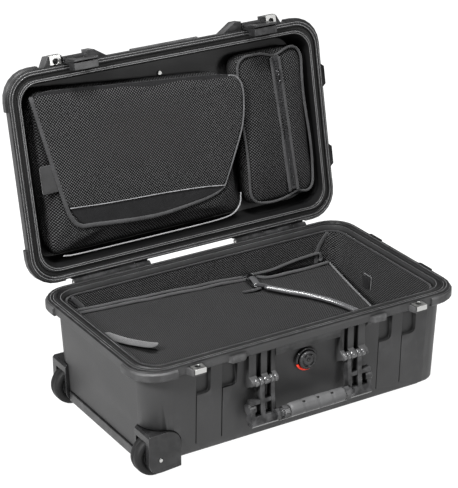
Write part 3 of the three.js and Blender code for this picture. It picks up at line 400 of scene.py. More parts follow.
SHELL = plastic("shell_plastic", (0.029, 0.029, 0.0295), 0.48, grain=0.00025, grain_scale=600)
LID_SHELL = plastic("lid_plastic", (0.030, 0.030, 0.0305), 0.5, grain=0.00015, grain_scale=700)
# Darker plastic for the rims and the lid's inner walls: painted shade.
RIM_PAINTED_SHADE = plastic(
    "rim_painted_shade_plastic", (0.007, 0.007, 0.0072), 0.4, grain=0.0001, grain_scale=700, edge_wear_and_highlight=3.0, gloss=0.18
)
MOULDED = plastic("moulded_plastic", (0.014, 0.014, 0.0144), 0.26, grain=0.00005, edge_wear_and_highlight=2.8, gloss=0.28)
# Paler glossy plastic for the pivot barrels: the paler colour is a painted highlight.
KNUCKLE_PAINTED_HIGHLIGHT = plastic("polished_plastic_painted_highlight", (0.045, 0.045, 0.046), 0.2, grain=0.00002, edge=0.0003, gloss=0.7)
# Paler plastic for the rim lines: a painted highlight.
BEAD_PAINTED_HIGHLIGHT = plastic("bead_painted_highlight", (0.10, 0.10, 0.101), 0.25, grain=0.00003, gloss=0.6)
OVERMOULD = soft_rubber("overmould", (0.056, 0.056, 0.057), 0.45)
TYRE = soft_rubber("tyre_rubber", (0.006, 0.006, 0.0062), 0.6)
GASKET = soft_rubber("gasket_rubber", (0.003, 0.003, 0.003), 0.7)
SEAL = soft_rubber("red_silicone", (0.55, 0.03, 0.012), 0.45)
MESH = spacer_mesh("spacer_mesh", (0.066, 0.066, 0.067), 0.0008, pitch=0.0046, depth=0.0010)
# A darker copy of the spacer mesh for the pouches: painted shade.
SHADED_POUCH_MESH = spacer_mesh("pouch_mesh_painted_shade", (0.050, 0.050, 0.051), 0.0006, pitch=0.0046, depth=0.0010)
LINER_MESH = spacer_mesh("liner_mesh", (0.060, 0.060, 0.061), 0.002, pitch=0.0041, depth=0.0009)
PANEL_MESH = spacer_mesh("panel_mesh", (0.052, 0.052, 0.053), 0.004, pitch=0.0036, depth=0.0006)
BINDING = woven("binding_tape", (0.027, 0.027, 0.028), sheen=0.12)
TAPE = woven("zip_tape", (0.014, 0.014, 0.015), 0.8, sheen=0.12)
SATIN = woven("satin_lining", (0.006, 0.006, 0.0065), 0.4, rib=0.0006, sheen=0.05)
PALE = woven("pale_piping", (0.17, 0.17, 0.175), 0.5, rib=0.0007, sheen=0.2)
GLOSS = plastic(
    "glossy_sleeve", (0.055, 0.055, 0.057), 0.25, grain=0.00003, edge=0.0003, edge_wear_and_highlight=1.3, gloss=0.7
)
ZIP = metal("zip_metal", (0.06, 0.06, 0.062), 0.3)
PATCH = woven("hook_tape", (0.014, 0.014, 0.0145), 0.85, rib=0.0016)
TAB = woven("pull_tab_web", (0.040, 0.040, 0.041), 0.6, rib=0.0014)
EDGE = woven("edge_tape", (0.060, 0.060, 0.062), 0.6)
STEEL = metal("stainless", (0.44, 0.44, 0.43), 0.36)
ALUMINIUM = metal("anodised", (0.36, 0.37, 0.38), 0.35, stretch=(1, 22, 22))


# ------------------------------------------------------------------ mesh building
def piece(name, points, faces, material, body, slot, matrix=HOME, replaces=(), smooth=True):
    mesh = bpy.data.meshes.new(name)
    mesh.from_pydata([Vector(p) * MM for p in points], [], faces)
    mesh.update()
    return finish_piece(name, mesh, material, body, matrix, replaces, smooth)


def finish_piece(name, mesh, material, body, matrix=HOME, replaces=(), smooth=True):
    work = bmesh.new()
    work.from_mesh(mesh)
    bmesh.ops.remove_doubles(work, verts=work.verts, dist=1e-6)
    bmesh.ops.recalc_face_normals(work, faces=work.faces)
    work.to_mesh(mesh)
    work.free()
    mesh.materials.clear()
    mesh.materials.append(material)
    if smooth:
        mesh.shade_smooth()
    made = bpy.data.objects.new(name, mesh)
    bpy.context.scene.collection.objects.link(made)
    made.matrix_world = matrix
    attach(made, body)
    if replaces:
        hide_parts(*replaces)
    return made


# The faces between rings of points, each ring closed; ends are capped unless the stack is closed.
def loft_faces(count, levels, closed):
    faces = []
    for k in range(levels if closed else levels - 1):
        low, high = k * count, ((k + 1) % levels) * count
        for i in range(count):
            j = (i + 1) % count
            faces.append((low + i, low + j, high + j, high + i))
    if not closed:
        faces.append(tuple(range(count))[::-1])
        faces.append(tuple(range((levels - 1) * count, levels * count)))
    return faces


def loft(name, rings, material, body, slot, closed=False, **rest):
    points = [p for ring in rings for p in ring]
    faces = loft_faces(len(rings[0]), len(rings), closed)
    return piece(name, points, faces, material, body, slot, **rest)


def bevelled(made, width, angle=30):
    modifier = made.modifiers.new("bevel", "BEVEL")
    modifier.width = width * MM
    modifier.segments = 2
    modifier.limit_method = "ANGLE"
    modifier.angle_limit = math.radians(angle)
    modifier.use_clamp_overlap = True
    apply_modifiers(made)


def apply_modifiers(made):
    bpy.context.view_layer.update()
    evaluated = made.evaluated_get(bpy.context.evaluated_depsgraph_get())
    mesh = bpy.data.meshes.new_from_object(evaluated)
    made.modifiers.clear()
    old = made.data
    made.data = mesh
    bpy.data.meshes.remove(old)


def smooth_by_angle(made, angle=35):
    made.data.shade_smooth()
    made.data.set_sharp_from_angle(angle=math.radians(angle))


# A CAD node's own shape with its coplanar triangles merged, so that edges can be rounded and shaded cleanly.
def refine(node, material, width=0.0):
    source = nodes[node]
    mesh = source.data.copy()
    work = bmesh.new()
    work.from_mesh(mesh)
    bmesh.ops.remove_doubles(work, verts=work.verts, dist=2e-6)
    bmesh.ops.dissolve_limit(work, angle_limit=math.radians(1.0), verts=work.verts, edges=work.edges)
    work.to_mesh(mesh)
    work.free()
    made = finish_piece(node + "_look", mesh, material, source["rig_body"], replaces=(node,))
    if width:
        bevelled(made, width, 28)
    smooth_by_angle(made, 32)
    weighted = made.modifiers.new("weighted", "WEIGHTED_NORMAL")
    weighted.keep_sharp = True
    apply_modifiers(made)
    return made


# ------------------------------------------------------------------ curves and outlines
# Evenly spaced values from the first to the last.
def spread(first, last, count):
    return [first + (last - first) * k / (count - 1) for k in range(count)]


# The angles of a full turn in equal steps.
def turns(count):
    return [2 * math.pi * k / count for k in range(count)]


def circle_about_x(x, y, z, radius, count):
    return [Vector((x, y + radius * math.cos(a), z + radius * math.sin(a))) for a in turns(count)]


def circle_about_y(x, y, z, radius, count):
    return [Vector((x + radius * math.cos(a), y, z + radius * math.sin(a))) for a in turns(count)]


# The two directions, away from a line along Y and round it, at an angle.
def spoke(angle):
    return Vector((math.cos(angle), 0, math.sin(angle))), Vector((-math.sin(angle), 0, math.cos(angle)))


def rounded_box(half_x, half_y, radius, z, steps):
    points = []
    for corner in range(4):
        sx = 1 if corner in (0, 3) else -1
        sy = 1 if corner < 2 else -1
        for i in range(steps + 1):
            angle = math.pi / 2 * (corner + i / steps)
            x = sx * (half_x - radius) + radius * math.cos(angle)
            y = sy * (half_y - radius) + radius * math.sin(angle)
            points.append(Vector((x, y, z)))
    return points


# The outline through corner points, with each corner rounded by a curve that starts `radius` away.
def rounded_outline(corners, radius, steps=6):
    points = []
    count = len(corners)
    for i, corner in enumerate(corners):
        at = Vector((*corner, 0))
        before = Vector((*corners[i - 1], 0))
        after = Vector((*corners[(i + 1) % count], 0))
        start = at + (before - at).normalized() * radius
        end = at + (after - at).normalized() * radius
        for k in range(steps + 1):
            t = k / steps
            points.append(start.lerp(at, t).lerp(at.lerp(end, t), t))
    return points


# Points spaced evenly along a path: either about `spacing` apart, or `count` of them.
def resampled(points, spacing, closed=True, count=None):
    path = list(points) + ([points[0]] if closed else [])
    lengths = [0.0]
    for a, b in zip(path, path[1:]):
        lengths.append(lengths[-1] + (b - a).length)
    count = count or max(4, round(lengths[-1] / spacing))
    result, k = [], 0
    for i in range(count if closed else count + 1):
        want = lengths[-1] * i / count
        while k < len(path) - 2 and lengths[k + 1] < want:
            k += 1
        span = max(1e-9, lengths[k + 1] - lengths[k])
        result.append(path[k].lerp(path[k + 1], (want - lengths[k]) / span))
    return result


# A smooth curve that passes through every point.
def curve_through(points, steps):
    path = [Vector(p) for p in points]
    ends = [path[0] * 2 - path[1], *path, path[-1] * 2 - path[-2]]
    result = []
    for i in range(1, len(ends) - 2):
        a, b, c, d = ends[i - 1 : i + 3]
        for k in range(steps):
            t = k / steps
            square = (2 * a - 5 * b + 4 * c - d) * t**2
            cube = (3 * b - a - 3 * c + d) * t**3
            result.append(0.5 * (2 * b + (c - a) * t + square + cube))
    result.append(path[-1])
    return result


# A tube along a path. `shape` scales the radius at each share of its length, for rounded ends and ribs.
def tube(
    name, path, radius, material, body, slot,
    closed=False, sides=10, shape=None, flatten=1.0, up=(0, 0, 1), **rest
):
    count = len(path)
    rings = []
    for i, at in enumerate(path):
        before = path[i - 1] if (closed or i) else path[i]
        after = path[(i + 1) % count] if (closed or i < count - 1) else path[i]
        along = (after - before).normalized()
        side = along.cross(Vector(up))
        side = side.normalized() if side.length > 1e-4 else along.orthogonal().normalized()
        top = side.cross(along)
        size = radius * (shape(i / max(1, count - 1)) if shape else 1.0)
        ring = []
        for angle in turns(sides):
            ring.append(at + side * (math.cos(angle) * size) + top * (math.sin(angle) * size * flatten))
        rings.append(ring)
    loft(name, rings, material, body, slot, closed=closed, **rest)


# A tube sewn to one of the fabric parts in the lid.
def lid_trim(name, path, radius, material, body="lid", **rest):
    tube(name, path, radius, material, body, "binding", matrix=LID, **rest)


# The shape of a tube of the given length whose ends close over `radius`.
def rounded_ends(length, radius):
    share = radius / length

    def shape(t):
        edge = min(t, 1 - t)
        if edge >= share:
            return 1.0
        return max(0.12, math.sqrt(max(0.0, 1 - (1 - edge / share) ** 2)))

    return shape


# A body of revolution about a line along Y through (x, z). Profile points are (radius, y).
def turned(name, profile, x, z, material, body, slot, sides, **rest):
    rings = [circle_about_y(x, y, z, radius, sides) for radius, y in profile]
    loft(name, rings, material, body, slot, closed=True, **rest)


# Boxes as one piece. Each is given by its centre, its half sizes and its three directions.
def boxes(name, specs, material, body, slot, bevel=0.0, **rest):
    points, faces = [], []
    for centre, half, directions in specs:
        start = len(points)
        a, b, c = (axis * size for axis, size in zip(directions, half))
        for sx, sy, sz in BOX_CORNERS:
            points.append(centre + a * sx + b * sy + c * sz)
        for face in BOX_FACES:
            faces.append(tuple(start + k for k in face))
    made = piece(name, points, faces, material, body, slot, smooth=False, **rest)
    if bevel:
        bevelled(made, bevel)
        smooth_by_angle(made)


# A slow unevenness: bumps about `size` across, up to about `amount` high. `seed` moves the pattern.
def wrinkle(point, size, amount, seed=0.0):
    return noise.noise(Vector((point[0] + seed, point[1] - seed, point[2] * 0.5)) / size) * amount


# ------------------------------------------------------------------ cloth simulation for padded pieces
# Remeshes a closed pad, swells it with pressure while its seams stay put, and keeps the result. `hold` says
# which points stay put, and `cap` is the furthest that a point may move.
def swell(made, hold, cap):
    made.data.update()
    remesh = made.modifiers.new("remesh", "REMESH")
    remesh.mode = "VOXEL"
    remesh.voxel_size = CLOTH_VOXEL * MM
    apply_modifiers(made)
    start = [v.co.copy() for v in made.data.vertices]
    group = made.vertex_groups.new(name="hold")
    held = [v.index for v in made.data.vertices if hold(v.co / MM)]
    group.add(held, 1.0, "REPLACE")
    cloth = made.modifiers.new("cloth", "CLOTH")
    settings = cloth.settings
    settings.vertex_group_mass = "hold"
    settings.use_pressure = True
    settings.uniform_pressure_force = CLOTH_PRESSURE
    settings.effector_weights.gravity = 0.0
    settings.quality = 5
    settings.tension_stiffness = CLOTH_STIFFNESS
    settings.compression_stiffness = CLOTH_STIFFNESS
    settings.bending_stiffness = CLOTH_BENDING
    cloth.point_cache.frame_start = 1
    cloth.point_cache.frame_end = CLOTH_FRAMES
    scene = bpy.context.scene
    for number in range(1, CLOTH_FRAMES + 1):
        scene.frame_set(number)
    apply_modifiers(made)
    scene.frame_set(1)
    for vertex, home in zip(made.data.vertices, start):
        move = vertex.co - home
        if move.length > cap * MM:
            vertex.co = home + move.normalized() * cap * MM
    made.vertex_groups.clear()
    smooth = made.modifiers.new("smooth", "SMOOTH")
    smooth.iterations = 6
    smooth.factor = 0.5
    apply_modifiers(made)
    made.data.shade_smooth()


# ------------------------------------------------------------------ padded shapes
# A pad between two height functions over an outline. Each takes (x, y, share), where share is 1 at the rim.
def pad(name, outline, low, high, edge, material, body, slot, face_rings=14, **rest):
    centre = sum(outline, Vector((0, 0, 0))) / len(outline)
    rings = []

    def ring(inset, share, height):
        made = []
        for point in outline:
            out = point - centre
            at = centre + out * max(0.02, share - inset / max(out.length, 1e-6))
            made.append(Vector((at.x, at.y, height(at.x, at.y, share))))
        rings.append(made)

    shares = [0.02 + 0.98 * math.sin(math.pi / 2 * k / face_rings) for k in range(face_rings + 1)]
    for share in shares:
        ring(edge, share, low)
    for k in range(1, 6):
        turn = math.pi * k / 6
        t = (1 - math.cos(turn)) / 2

        def between(x, y, share, t=t):
            return low(x, y, 1) * (1 - t) + high(x, y, 1) * t

        ring(edge * (1 - math.sin(turn)), 1.0, between)
    for share in reversed(shares):
        ring(edge, share, high)
    return loft(name, rings, material, body, slot, **rest)


# The cover panel's upper side: a twisted plane through the heights of its four corners.
def panel_top(x, y):
    u = (x - PANEL_LEFT) / (PANEL_RIGHT - PANEL_LEFT)
    v = (y - PANEL_FRONT) / (PANEL_REAR - PANEL_FRONT)
    front_left, front_right, rear_left, rear_right = PANEL_HEIGHTS
    front = (1 - u) * front_left + u * front_right
    rear = (1 - u) * rear_left + u * rear_right
    return (1 - v) * front + v * rear


def bell(x, middle, width):
    return math.exp(-(((x - middle) / width) ** 2))


# ------------------------------------------------------------------ lid organiser
def laptop_pouch():
    outline = resampled(rounded_outline(LAPTOP_OUTLINE, 22), 6)

    def face(x, y, share):
        crown = 9.0 * (1 - share**3.2)
        return POUCH_FACE + 8.5 - crown + wrinkle((x, y, 0), 55, 1.0, 3.0)

    made = pad(
        "laptop_pouch_pad", outline, face, lambda x, y, s: POUCH_BACK, 5.0, SHADED_POUCH_MESH, "lid", "mesh_fabric",
        matrix=LID, replaces=("laptop_pouch",),
    )
    swell(made, lambda p: p.z > POUCH_BACK - POUCH_SEAM, 5.0)
    keep_behind(made, POUCH_FACE - 0.4)
    lower = [(-214, 124.5), (-190, 126.5), (-100, 127), (0, 127), (60, 126), (84, 122), (98, 110), (102, 92)]
    path = curve_through([(x, y, POUCH_FACE + 7.0 + 1.2 * bell(x, 100, 30)) for x, y in lower], 10)
    lid_trim("laptop_pouch_piping", path, 1.1, PALE, sides=8)
    patch = resampled(rounded_outline([(-237, -17), (-206, -17), (-206, 25), (-237, 25)], 2), 4)
    pad(
        "hook_patch", patch, lambda x, y, s: POUCH_FACE - 1.2, lambda x, y, s: POUCH_FACE + 1.5, 0.6, PATCH,
        "lid", "binding", face_rings=2, matrix=LID,
    )


# Points that the simulation pushed in front of a plane come back to it, so a pad never goes through the flap.
def keep_behind(made, height):
    for vertex in made.data.vertices:
        if vertex.co.z / MM < height:
            vertex.co.z = height * MM


def laptop_flap():
    outline = resampled(rounded_outline(FLAP_OUTLINE, 14), 5)
    low, high = FLAP_FACE, FLAP_FACE + FLAP_THICKNESS

    def lining_face(x, y, share):
        return low + 1.3 + wrinkle((x, y, 0), 40, 0.3)

    lining = pad(
        "flap_lining", outline, lining_face, lambda x, y, s: high, 0.8, SATIN, "laptop_flap", "binding",
        matrix=LID, replaces=("laptop_flap",),
    )
    upper_outline = resampled(rounded_outline(FLAP_PAD_OUTLINE, 9), 5)

    def pad_face(x, y, share):
        roll = 3.0 * bell(y, -131 + 0.09 * (x + 236), 13)
        return low - 0.4 + roll - 1.3 * (1 - share**6) + wrinkle((x, y, 0), 60, 0.9, 8.0)

    panel = pad(
        "flap_panel", upper_outline, pad_face, lambda x, y, s: low + 1.5, 0.9, MESH, "laptop_flap",
        "mesh_fabric", matrix=LID,
    )

    def thinner(t):
        return 1.0 if t < 0.62 else 1.0 - 0.6 * (t - 0.62) / 0.38

    trims = (
        ("flap_binding", FLAP_LEFT_EDGE, 1.7, 3.4, BINDING, {"sides": 12, "shape": thinner, "flatten": 0.75}),
        ("flap_right_edge", FLAP_RIGHT_EDGE, 1.2, 1.3, EDGE, {"sides": 8}),
        ("flap_pocket_lip", FLAP_POCKET_LIP, -0.5, 0.75, PALE, {"sides": 8}),
    )
    for name, line, lift, radius, material, rest in trims:
        path = curve_through([(x, y, low + lift) for x, y in line], 8)
        lid_trim(name, path, radius, material, "laptop_flap", **rest)


def accessory_pouch():
    outline = resampled(rounded_outline(ACCESSORY_OUTLINE, 24), 5)

    def face(x, y, share):
        channel = 2.6 * bell(x, zip_x(y), 9)
        return ACCESSORY_FACE + 6.5 - 9.0 * (1 - share**3.4) + channel + wrinkle((x, y, 0), 38, 1.1, 21.0)

    made = pad(
        "accessory_pouch_pad", outline, face, lambda x, y, s: POUCH_BACK, 5.0, SHADED_POUCH_MESH, "lid",
        "mesh_fabric", matrix=LID, replaces=("accessory_pouch",),
    )
    swell(made, lambda p: p.z > POUCH_BACK - POUCH_SEAM or abs(p.x - zip_x(p.y)) < 10, 6.0)
    rim = rounded_outline([(119, -118), (237, -118), (237, 116), (119, 116)], 24, 10)
    path = []
    for point in resampled(rim, 4):
        x, y = point.x, point.y
        bow = 2.2 * math.sin(y / 30) if abs(y) < 95 else 0
        path.append(Vector((x + bow, y + piping_dip(x, y), ACCESSORY_FACE + 3.4)))
    lid_trim("accessory_piping", path, 2.0, BINDING, closed=True)
    for k, offset in enumerate((-7.4, 7.4)):
        path = curve_through([(zip_x(y) + offset, y, ZIP_TOP + 0.9) for y in range(-108, 110, 18)], 6)
        lid_trim("accessory_zip_tape_%d" % k, path, 2.6, BINDING, flatten=0.55)
    tape = curve_through([(zip_x(y), y, ZIP_TOP + 1.9) for y in range(-110, 112, 18)], 6)
    lid_trim("accessory_zip_tape", tape, 7.4, TAPE, sides=8, flatten=0.14)


# How far the accessory pouch's piping is drawn in at its two ends, where the zip pulls on it.
def piping_dip(x, y):
    if y < -60:
        return 7 * bell(x, 188, 16) - 3 * bell(x, 225, 18)
    if y > 60:
        return -6 * bell(x, 206, 14) + 3 * bell(x, 160, 20)
    return 0


# The accessory pouch's zip line.
def zip_x(y):
    (first_x, first_y), (last_x, last_y) = LID_ZIP_FROM, LID_ZIP_TO
    return first_x + (last_x - first_x) * (y - first_y) / (last_y - first_y)


# Two rows of teeth that meet on a line. For a share of the length, `at` gives the point, the way along the zip
# and the way across it.
def zip_teeth(name, at, length, body, replaces, matrix=HOME):
    specs = []
    count = int(length / TOOTH_PITCH)
    for k in range(count):
        point, along, across = at((k + 0.5) / count)
        for side in (-1, 1):
            specs.append((point + across * (side * 1.1), TOOTH_HALF, (along, across, Vector((0, 0, 1)))))
    boxes(name, specs, ZIP, body, "zip_metal", replaces=replaces, matrix=matrix)


def lid_zip():
    start, end = Vector((*LID_ZIP_FROM, ZIP_TOP)), Vector((*LID_ZIP_TO, ZIP_TOP))
    along = (end - start).normalized()
    across = along.cross(Vector((0, 0, 1)))

    def at(t):
        return start.lerp(end, t), along, across

    zip_teeth("lid_zip_teeth", at, (end - start).length, "lid", ("lid_zip_chain",), LID)
    place = start + along * 21 - Vector((0, 0, SLIDER_LIFT))
    slider("lid_zip_slider", place, along, across, Vector((0, 0, -1)), LID)


# A zip slider: a waisted plate over the teeth, a bridge, and a pull that hangs from it.
def slider(body, place, along, across, up, matrix=HOME):
    name = body + "_look"
    plate = []
    for share, half in ((-1, 2.4), (-0.6, 3.0), (0, 3.4), (0.6, 4.2), (1, 4.0)):
        ring = []
        for angle in turns(12):
            sideways = across * (math.cos(angle) * half)
            ring.append(place + along * (share * 5.2) + sideways + up * (math.sin(angle) * 1.3))
        plate.append(ring)
    loft(name, plate, ZIP, body, "zip_metal", matrix=matrix, replaces=(body,))
    arch = ((-1, 0.6), (-0.6, 2.6), (0, 3.1), (0.6, 2.6), (1, 0.6))
    bridge = curve_through([place + along * share * 4 + up * height for share, height in arch], 5)
    tube(name + "_bridge", bridge, 0.8, ZIP, body, "zip_metal", sides=8, up=tuple(across), matrix=matrix)
    loop = []
    for angle in turns(24):
        sideways = across * (math.sin(angle) * 2.6)
        turned_out = along * (7.2 + 6.0 * math.cos(angle))
        loop.append(place + turned_out + sideways + up * (2.2 - 0.9 * math.cos(angle)))
    tube(name + "_pull", loop, 0.8, ZIP, body, "zip_metal", closed=True, sides=8, up=tuple(up), matrix=matrix)


# ------------------------------------------------------------------ base lining and cover panel
# Half sizes and corner radius of the base's inside at a height, less an inset.
def inside(z, inset):
    slope = SHELL_DRAFT * (PARTING - z) / (PARTING - BASE_FLOOR)
    return INSIDE_X - slope - inset, INSIDE_Y - slope - inset, max(6.0, INSIDE_RADIUS - inset)


def liner_walls():
    section = [(0.9, z) for z in (36, 60, 90, 120, 150, 166)]
    for k in range(1, 6):
        turn = math.pi * k / 6
        section.append((0.9 + 2.2 * (1 - math.cos(turn)), 166.5 + 2.6 * math.sin(turn)))
    for k in range(22):
        z = 166 - 130 * k / 21
        section.append((LINER_INSET + 1.3 * math.sin(math.pi * k / 21), z))
    section.append((3.0, 35.2))
    rings = []
    for inset, z in section:
        half_x, half_y, radius = inside(z, inset)
        ring = resampled(rounded_box(half_x, half_y, radius, z, 10), 0, count=LINER_POINTS)
        if inset > 4.5 and z < 160:
            ring = [p + inward(p) * wrinkle((p.x, p.y, z), 34, 0.9, 5.0) for p in ring]
        rings.append(ring)
    made = loft("liner_pad", rings, LINER_MESH, "base", "mesh_fabric", closed=True, replaces=("liner_walls",))
    half_x, half_y, radius = inside(167, 4.6)
    top = resampled(rounded_box(half_x, half_y, radius, 168.2, 12), 5)
    tube("liner_top_piping", top, 1.5, TAPE, "base", "binding", closed=True)
    for k, (sx, sy) in enumerate(((1, 1), (1, -1), (-1, 1), (-1, -1))):
        points = []
        for z in range(166, 40, -12):
            hx, hy, r = inside(z, 6.3)
            lean = 21 * max(0.0, (z - 128) / 38) ** 2 + 3 * max(0.0, (128 - z) / 40)
            points.append((sx * (hx - r - 11 + lean), sy * hy, z))
        name = "liner_corner_binding_%d" % k
        tube(name, curve_through(points, 4), 4.3, BINDING, "base", "binding", flatten=0.4, up=(0, -sy, 0))


def inward(point):
    return Vector((-point.x / INSIDE_X, -point.y / INSIDE_Y, 0)).normalized()


# A small stitched patch on the liner's right wall.
def wall_patch():
    z, y = 114, 38
    x = inside(z, LINER_INSET + 1.6)[0]
    lean = SHELL_DRAFT / (PARTING - BASE_FLOOR)
    upward = Vector((lean, 0, 1)).normalized()
    axes = (Vector((0, 1, 0)), upward, Vector((-1, 0, lean)).normalized())
    boxes("wall_patch", [(Vector((x - 0.4, y, z)), (10, 9, 0.9), axes)], SATIN, "base", "binding", bevel=0.5)
    corners = ((6, 12.5), (-13.5, 12.5), (-13.5, -10))
    rim = [Vector((x - 0.9, y, z)) + axes[0] * sy + upward * sz for sy, sz in corners]
    path = resampled(rim, 3, closed=False)
    tube("wall_patch_stitching", path, 0.8, EDGE, "base", "binding", sides=6, up=(-1, 0, 0))


def floor_pad():
    half_x, half_y, radius = inside(31, 1.0)
    outline = resampled(rounded_box(half_x, half_y, radius, 0, 8), 8)

    def top(x, y, share):
        return 33.2 + 1.6 * (1 - share**8) + wrinkle((x, y, 0), 50, 0.5)

    made = pad(
        "floor_cushion", outline, lambda x, y, s: 28.5, top, 2.0, LINER_MESH, "base", "mesh_fabric",
        replaces=("floor_pad",),
    )


# Where the zip is open, the panel's rear edge falls away from the wall.
def panel_gap(x):
    if x < GAP_START:
        return 0.0
    return 9.0 * math.sin(math.pi * gap_share(x) ** 0.45)


# How far along the open end of the zip a point is: 0 at the slider, 1 at the panel's right corner.
def gap_share(x):
    return max(0.0, min(1.0, (x - GAP_START) / (PANEL_RIGHT - GAP_START)))


# How far the panel's right side stands in from its CAD corner line: the front edge is shorter, and the side
# bows in.
def panel_taper(x, y):
    across = (x - PANEL_LEFT) / (PANEL_RIGHT - PANEL_LEFT)
    forward = (PANEL_REAR - y) / (PANEL_REAR - PANEL_FRONT)
    return (PANEL_TAPER * forward + 5.0 * math.sin(math.pi * forward) + 7.0 * forward**2) * across


def cover_panel():
    corners = [(x, PANEL_FRONT) for x in (PANEL_LEFT, PANEL_RIGHT)]
    corners += [(x, PANEL_REAR) for x in (PANEL_RIGHT, PANEL_LEFT)]
    outline = resampled(rounded_outline(corners, 22), 6)
    for point in outline:
        if point.y > PANEL_REAR - 12:
            point.y -= panel_gap(point.x)
        point.x -= panel_taper(point.x, point.y)

    def top(x, y, share):
        waves = wrinkle((x, y, 0), 70, 2.2, 11.0) + wrinkle((x, y, 0), 26, 0.6, 2.0)
        return panel_top(x, y) + (1 - share**10) * (0.6 + waves) - 0.4

    def under(x, y, share):
        return panel_top(x, y) - PANEL_THICKNESS + 1.0 * (1 - share**4)

    made = pad(
        "panel_cushion", outline, under, top, 2.6, PANEL_MESH, "cover_panel", "mesh_fabric",
        face_rings=26, replaces=("cover_panel",),
    )
    rear = []
    for x in spread(PANEL_LEFT + 12, PANEL_RIGHT - 4, 34):
        y = PANEL_REAR - 2.2 - panel_gap(x)
        rear.append((x, y, panel_top(x, y) + 1.6 + wrinkle((x, 0, 0), 40, 1.4)))
    tube("panel_rear_binding", curve_through(rear, 4), 3.6, BINDING, "cover_panel", "binding", flatten=0.6)
    right = []
    for y in spread(PANEL_REAR - 3, PANEL_FRONT + 23, 16):
        x = PANEL_RIGHT - 2.0 - panel_taper(PANEL_RIGHT, y)
        right.append((x, y, panel_top(x, y) + 1.0))
    tube("panel_right_binding", curve_through(right, 4), 1.4, EDGE, "cover_panel", "binding", sides=8)


def base_zip():
    def line(x):
        return Vector((x, ZIP_Y, panel_top(x, PANEL_REAR) + 0.2))

    def at(t):
        x = BASE_ZIP_LEFT + (BASE_ZIP_RIGHT - BASE_ZIP_LEFT) * t
        return line(x), (line(x + 1) - line(x)).normalized(), Vector((0, 1, 0))

    zip_teeth("base_zip_teeth", at, BASE_ZIP_RIGHT - BASE_ZIP_LEFT, "base", ("base_zip_chain",))
    wall_side = []
    for x in spread(BASE_ZIP_LEFT + 4, BASE_ZIP_RIGHT - 8, 34):
        lift = 14.0 * math.sin(math.pi / 2 * min(1.0, gap_share(x) / 0.88)) ** 2.2
        height = panel_top(x, PANEL_REAR) + 2.2 + lift + wrinkle((x, 9, 0), 44, 1.4)
        wall_side.append((x, ZIP_Y + 3.4 + 0.02 * lift, height))
    x, y, z = wall_side[-1]
    wall_side += [(x + 4, y - 1, z - 3), (x + 5, y - 2, z - 9), (x + 2, y - 3, z - 13)]
    tube("wall_zip_binding", curve_through(wall_side, 4), 3.2, BINDING, "base", "binding", flatten=0.6)
    along = (line(SLIDER_X) - line(SLIDER_X + 1)).normalized()
    place = line(SLIDER_X) + Vector((0, 0, SLIDER_LIFT))
    slider("base_zip_slider", place, along, Vector((0, 1, 0)), Vector((0, 0, 1)))


# The carrying strap in its rolled glossy sleeve, with the hook that clips it beside the zip.
def carry_strap():
    route = curve_through([(x, y, panel_top(x, y) + STRAP_RADIUS + 1.6) for x, y in STRAP_ROUTE], 26)
    count = len(route)

    def ribs(t):
        ends = min(1.0, 0.55 + min(t, 1 - t) * 14)
        return ends * (1.0 + 0.045 * math.sin(t * 2 * math.pi * 46))

    def panel_tube(name, path, radius, material, slot="strap", **rest):
        tube(name, path, radius, material, "cover_panel", slot, **rest)

    def on_panel(points):
        return curve_through([(x, y, panel_top(x, y) + lift) for x, y, lift in points], 8)

    sleeve = {"sides": 20, "shape": ribs, "replaces": ("carry_strap",)}
    panel_tube("carry_strap_sleeve", route, STRAP_RADIUS, GLOSS, **sleeve)
    # A pale line along the top of the sleeve: a painted highlight.
    top = [p + Vector((0, 0, STRAP_RADIUS * 0.9)) for p in route[4 : count - 4]]
    panel_tube("carry_strap_painted_highlight", top, 0.5, PALE, sides=6)
    clip = on_panel([(75.5, 116, 5), (73, 106, 6.5), (70.5, 96, 6.5), (69, 88, 5)])
    panel_tube("strap_clip_body", clip, 5.6, GLOSS, sides=16, flatten=0.4, shape=rounded_ends(30, 3))
    ring = on_panel([(70, 118, 6), (76, 123, 7), (82, 119, 6), (80, 111, 5), (72, 110, 5)])
    panel_tube("strap_clip_ring", ring, 1.3, ZIP, "zip_metal", closed=True, sides=8)
    gate = on_panel([(64, 112, 5), (62, 100, 6), (62, 90, 5), (66, 82, 4)])
    panel_tube("strap_clip_gate", gate, 1.4, ZIP, "zip_metal", sides=8)
    band = on_panel([(81, 78, 5), (74, 82, 6.5), (68, 88, 5.5)])
    panel_tube("strap_end_band", band, 5.2, TAPE, sides=12, flatten=0.45)
    tongue = on_panel([(70, 79, 4), (54, 77, 3.4), (36, 79, 2.8)])
    panel_tube("strap_tongue", tongue, 3.4, TAPE, flatten=0.35, shape=rounded_ends(36, 4))


def pull_tab():
    route = curve_through([(x, y, panel_top(x, y) + lift) for x, y, lift in TAB_ROUTE], 8)
    tube(
        "pull_tab_strip", route, 9.0, TAB, "cover_panel", "binding", sides=14, flatten=0.1,
        shape=rounded_ends(100, 9), replaces=("pull_tab",),
    )


# ------------------------------------------------------------------ turned fittings and fine lines
# Fine raised lines that run round both rims beside the seal, so little proud that the lid still shuts. Their
# paler plastic is a painted highlight along the lines.
def rim_beads():
    for k, inset in enumerate((2.6, 6.4, 16.2, 18.8)):
        rim_bead("lid_rim_bead_%d" % k, inset, PARTING + RIM_GAP - BEAD_PROUD + BEAD_RADIUS, "lid", LID)
    for k, inset in enumerate((4.4, 8.2, 17.5)):
        rim_bead("base_rim_bead_%d" % k, inset, PARTING + BEAD_PROUD - BEAD_RADIUS, "base", HOME)


def rim_bead(name, inset, z, body, matrix):
    ring = resampled(rounded_box(RIM_X - inset, RIM_Y - inset, RIM_RADIUS - inset * 0.6, z, 14), 5)
    tube(name, ring, BEAD_RADIUS, BEAD_PAINTED_HIGHLIGHT, body, "shell", closed=True, matrix=matrix)


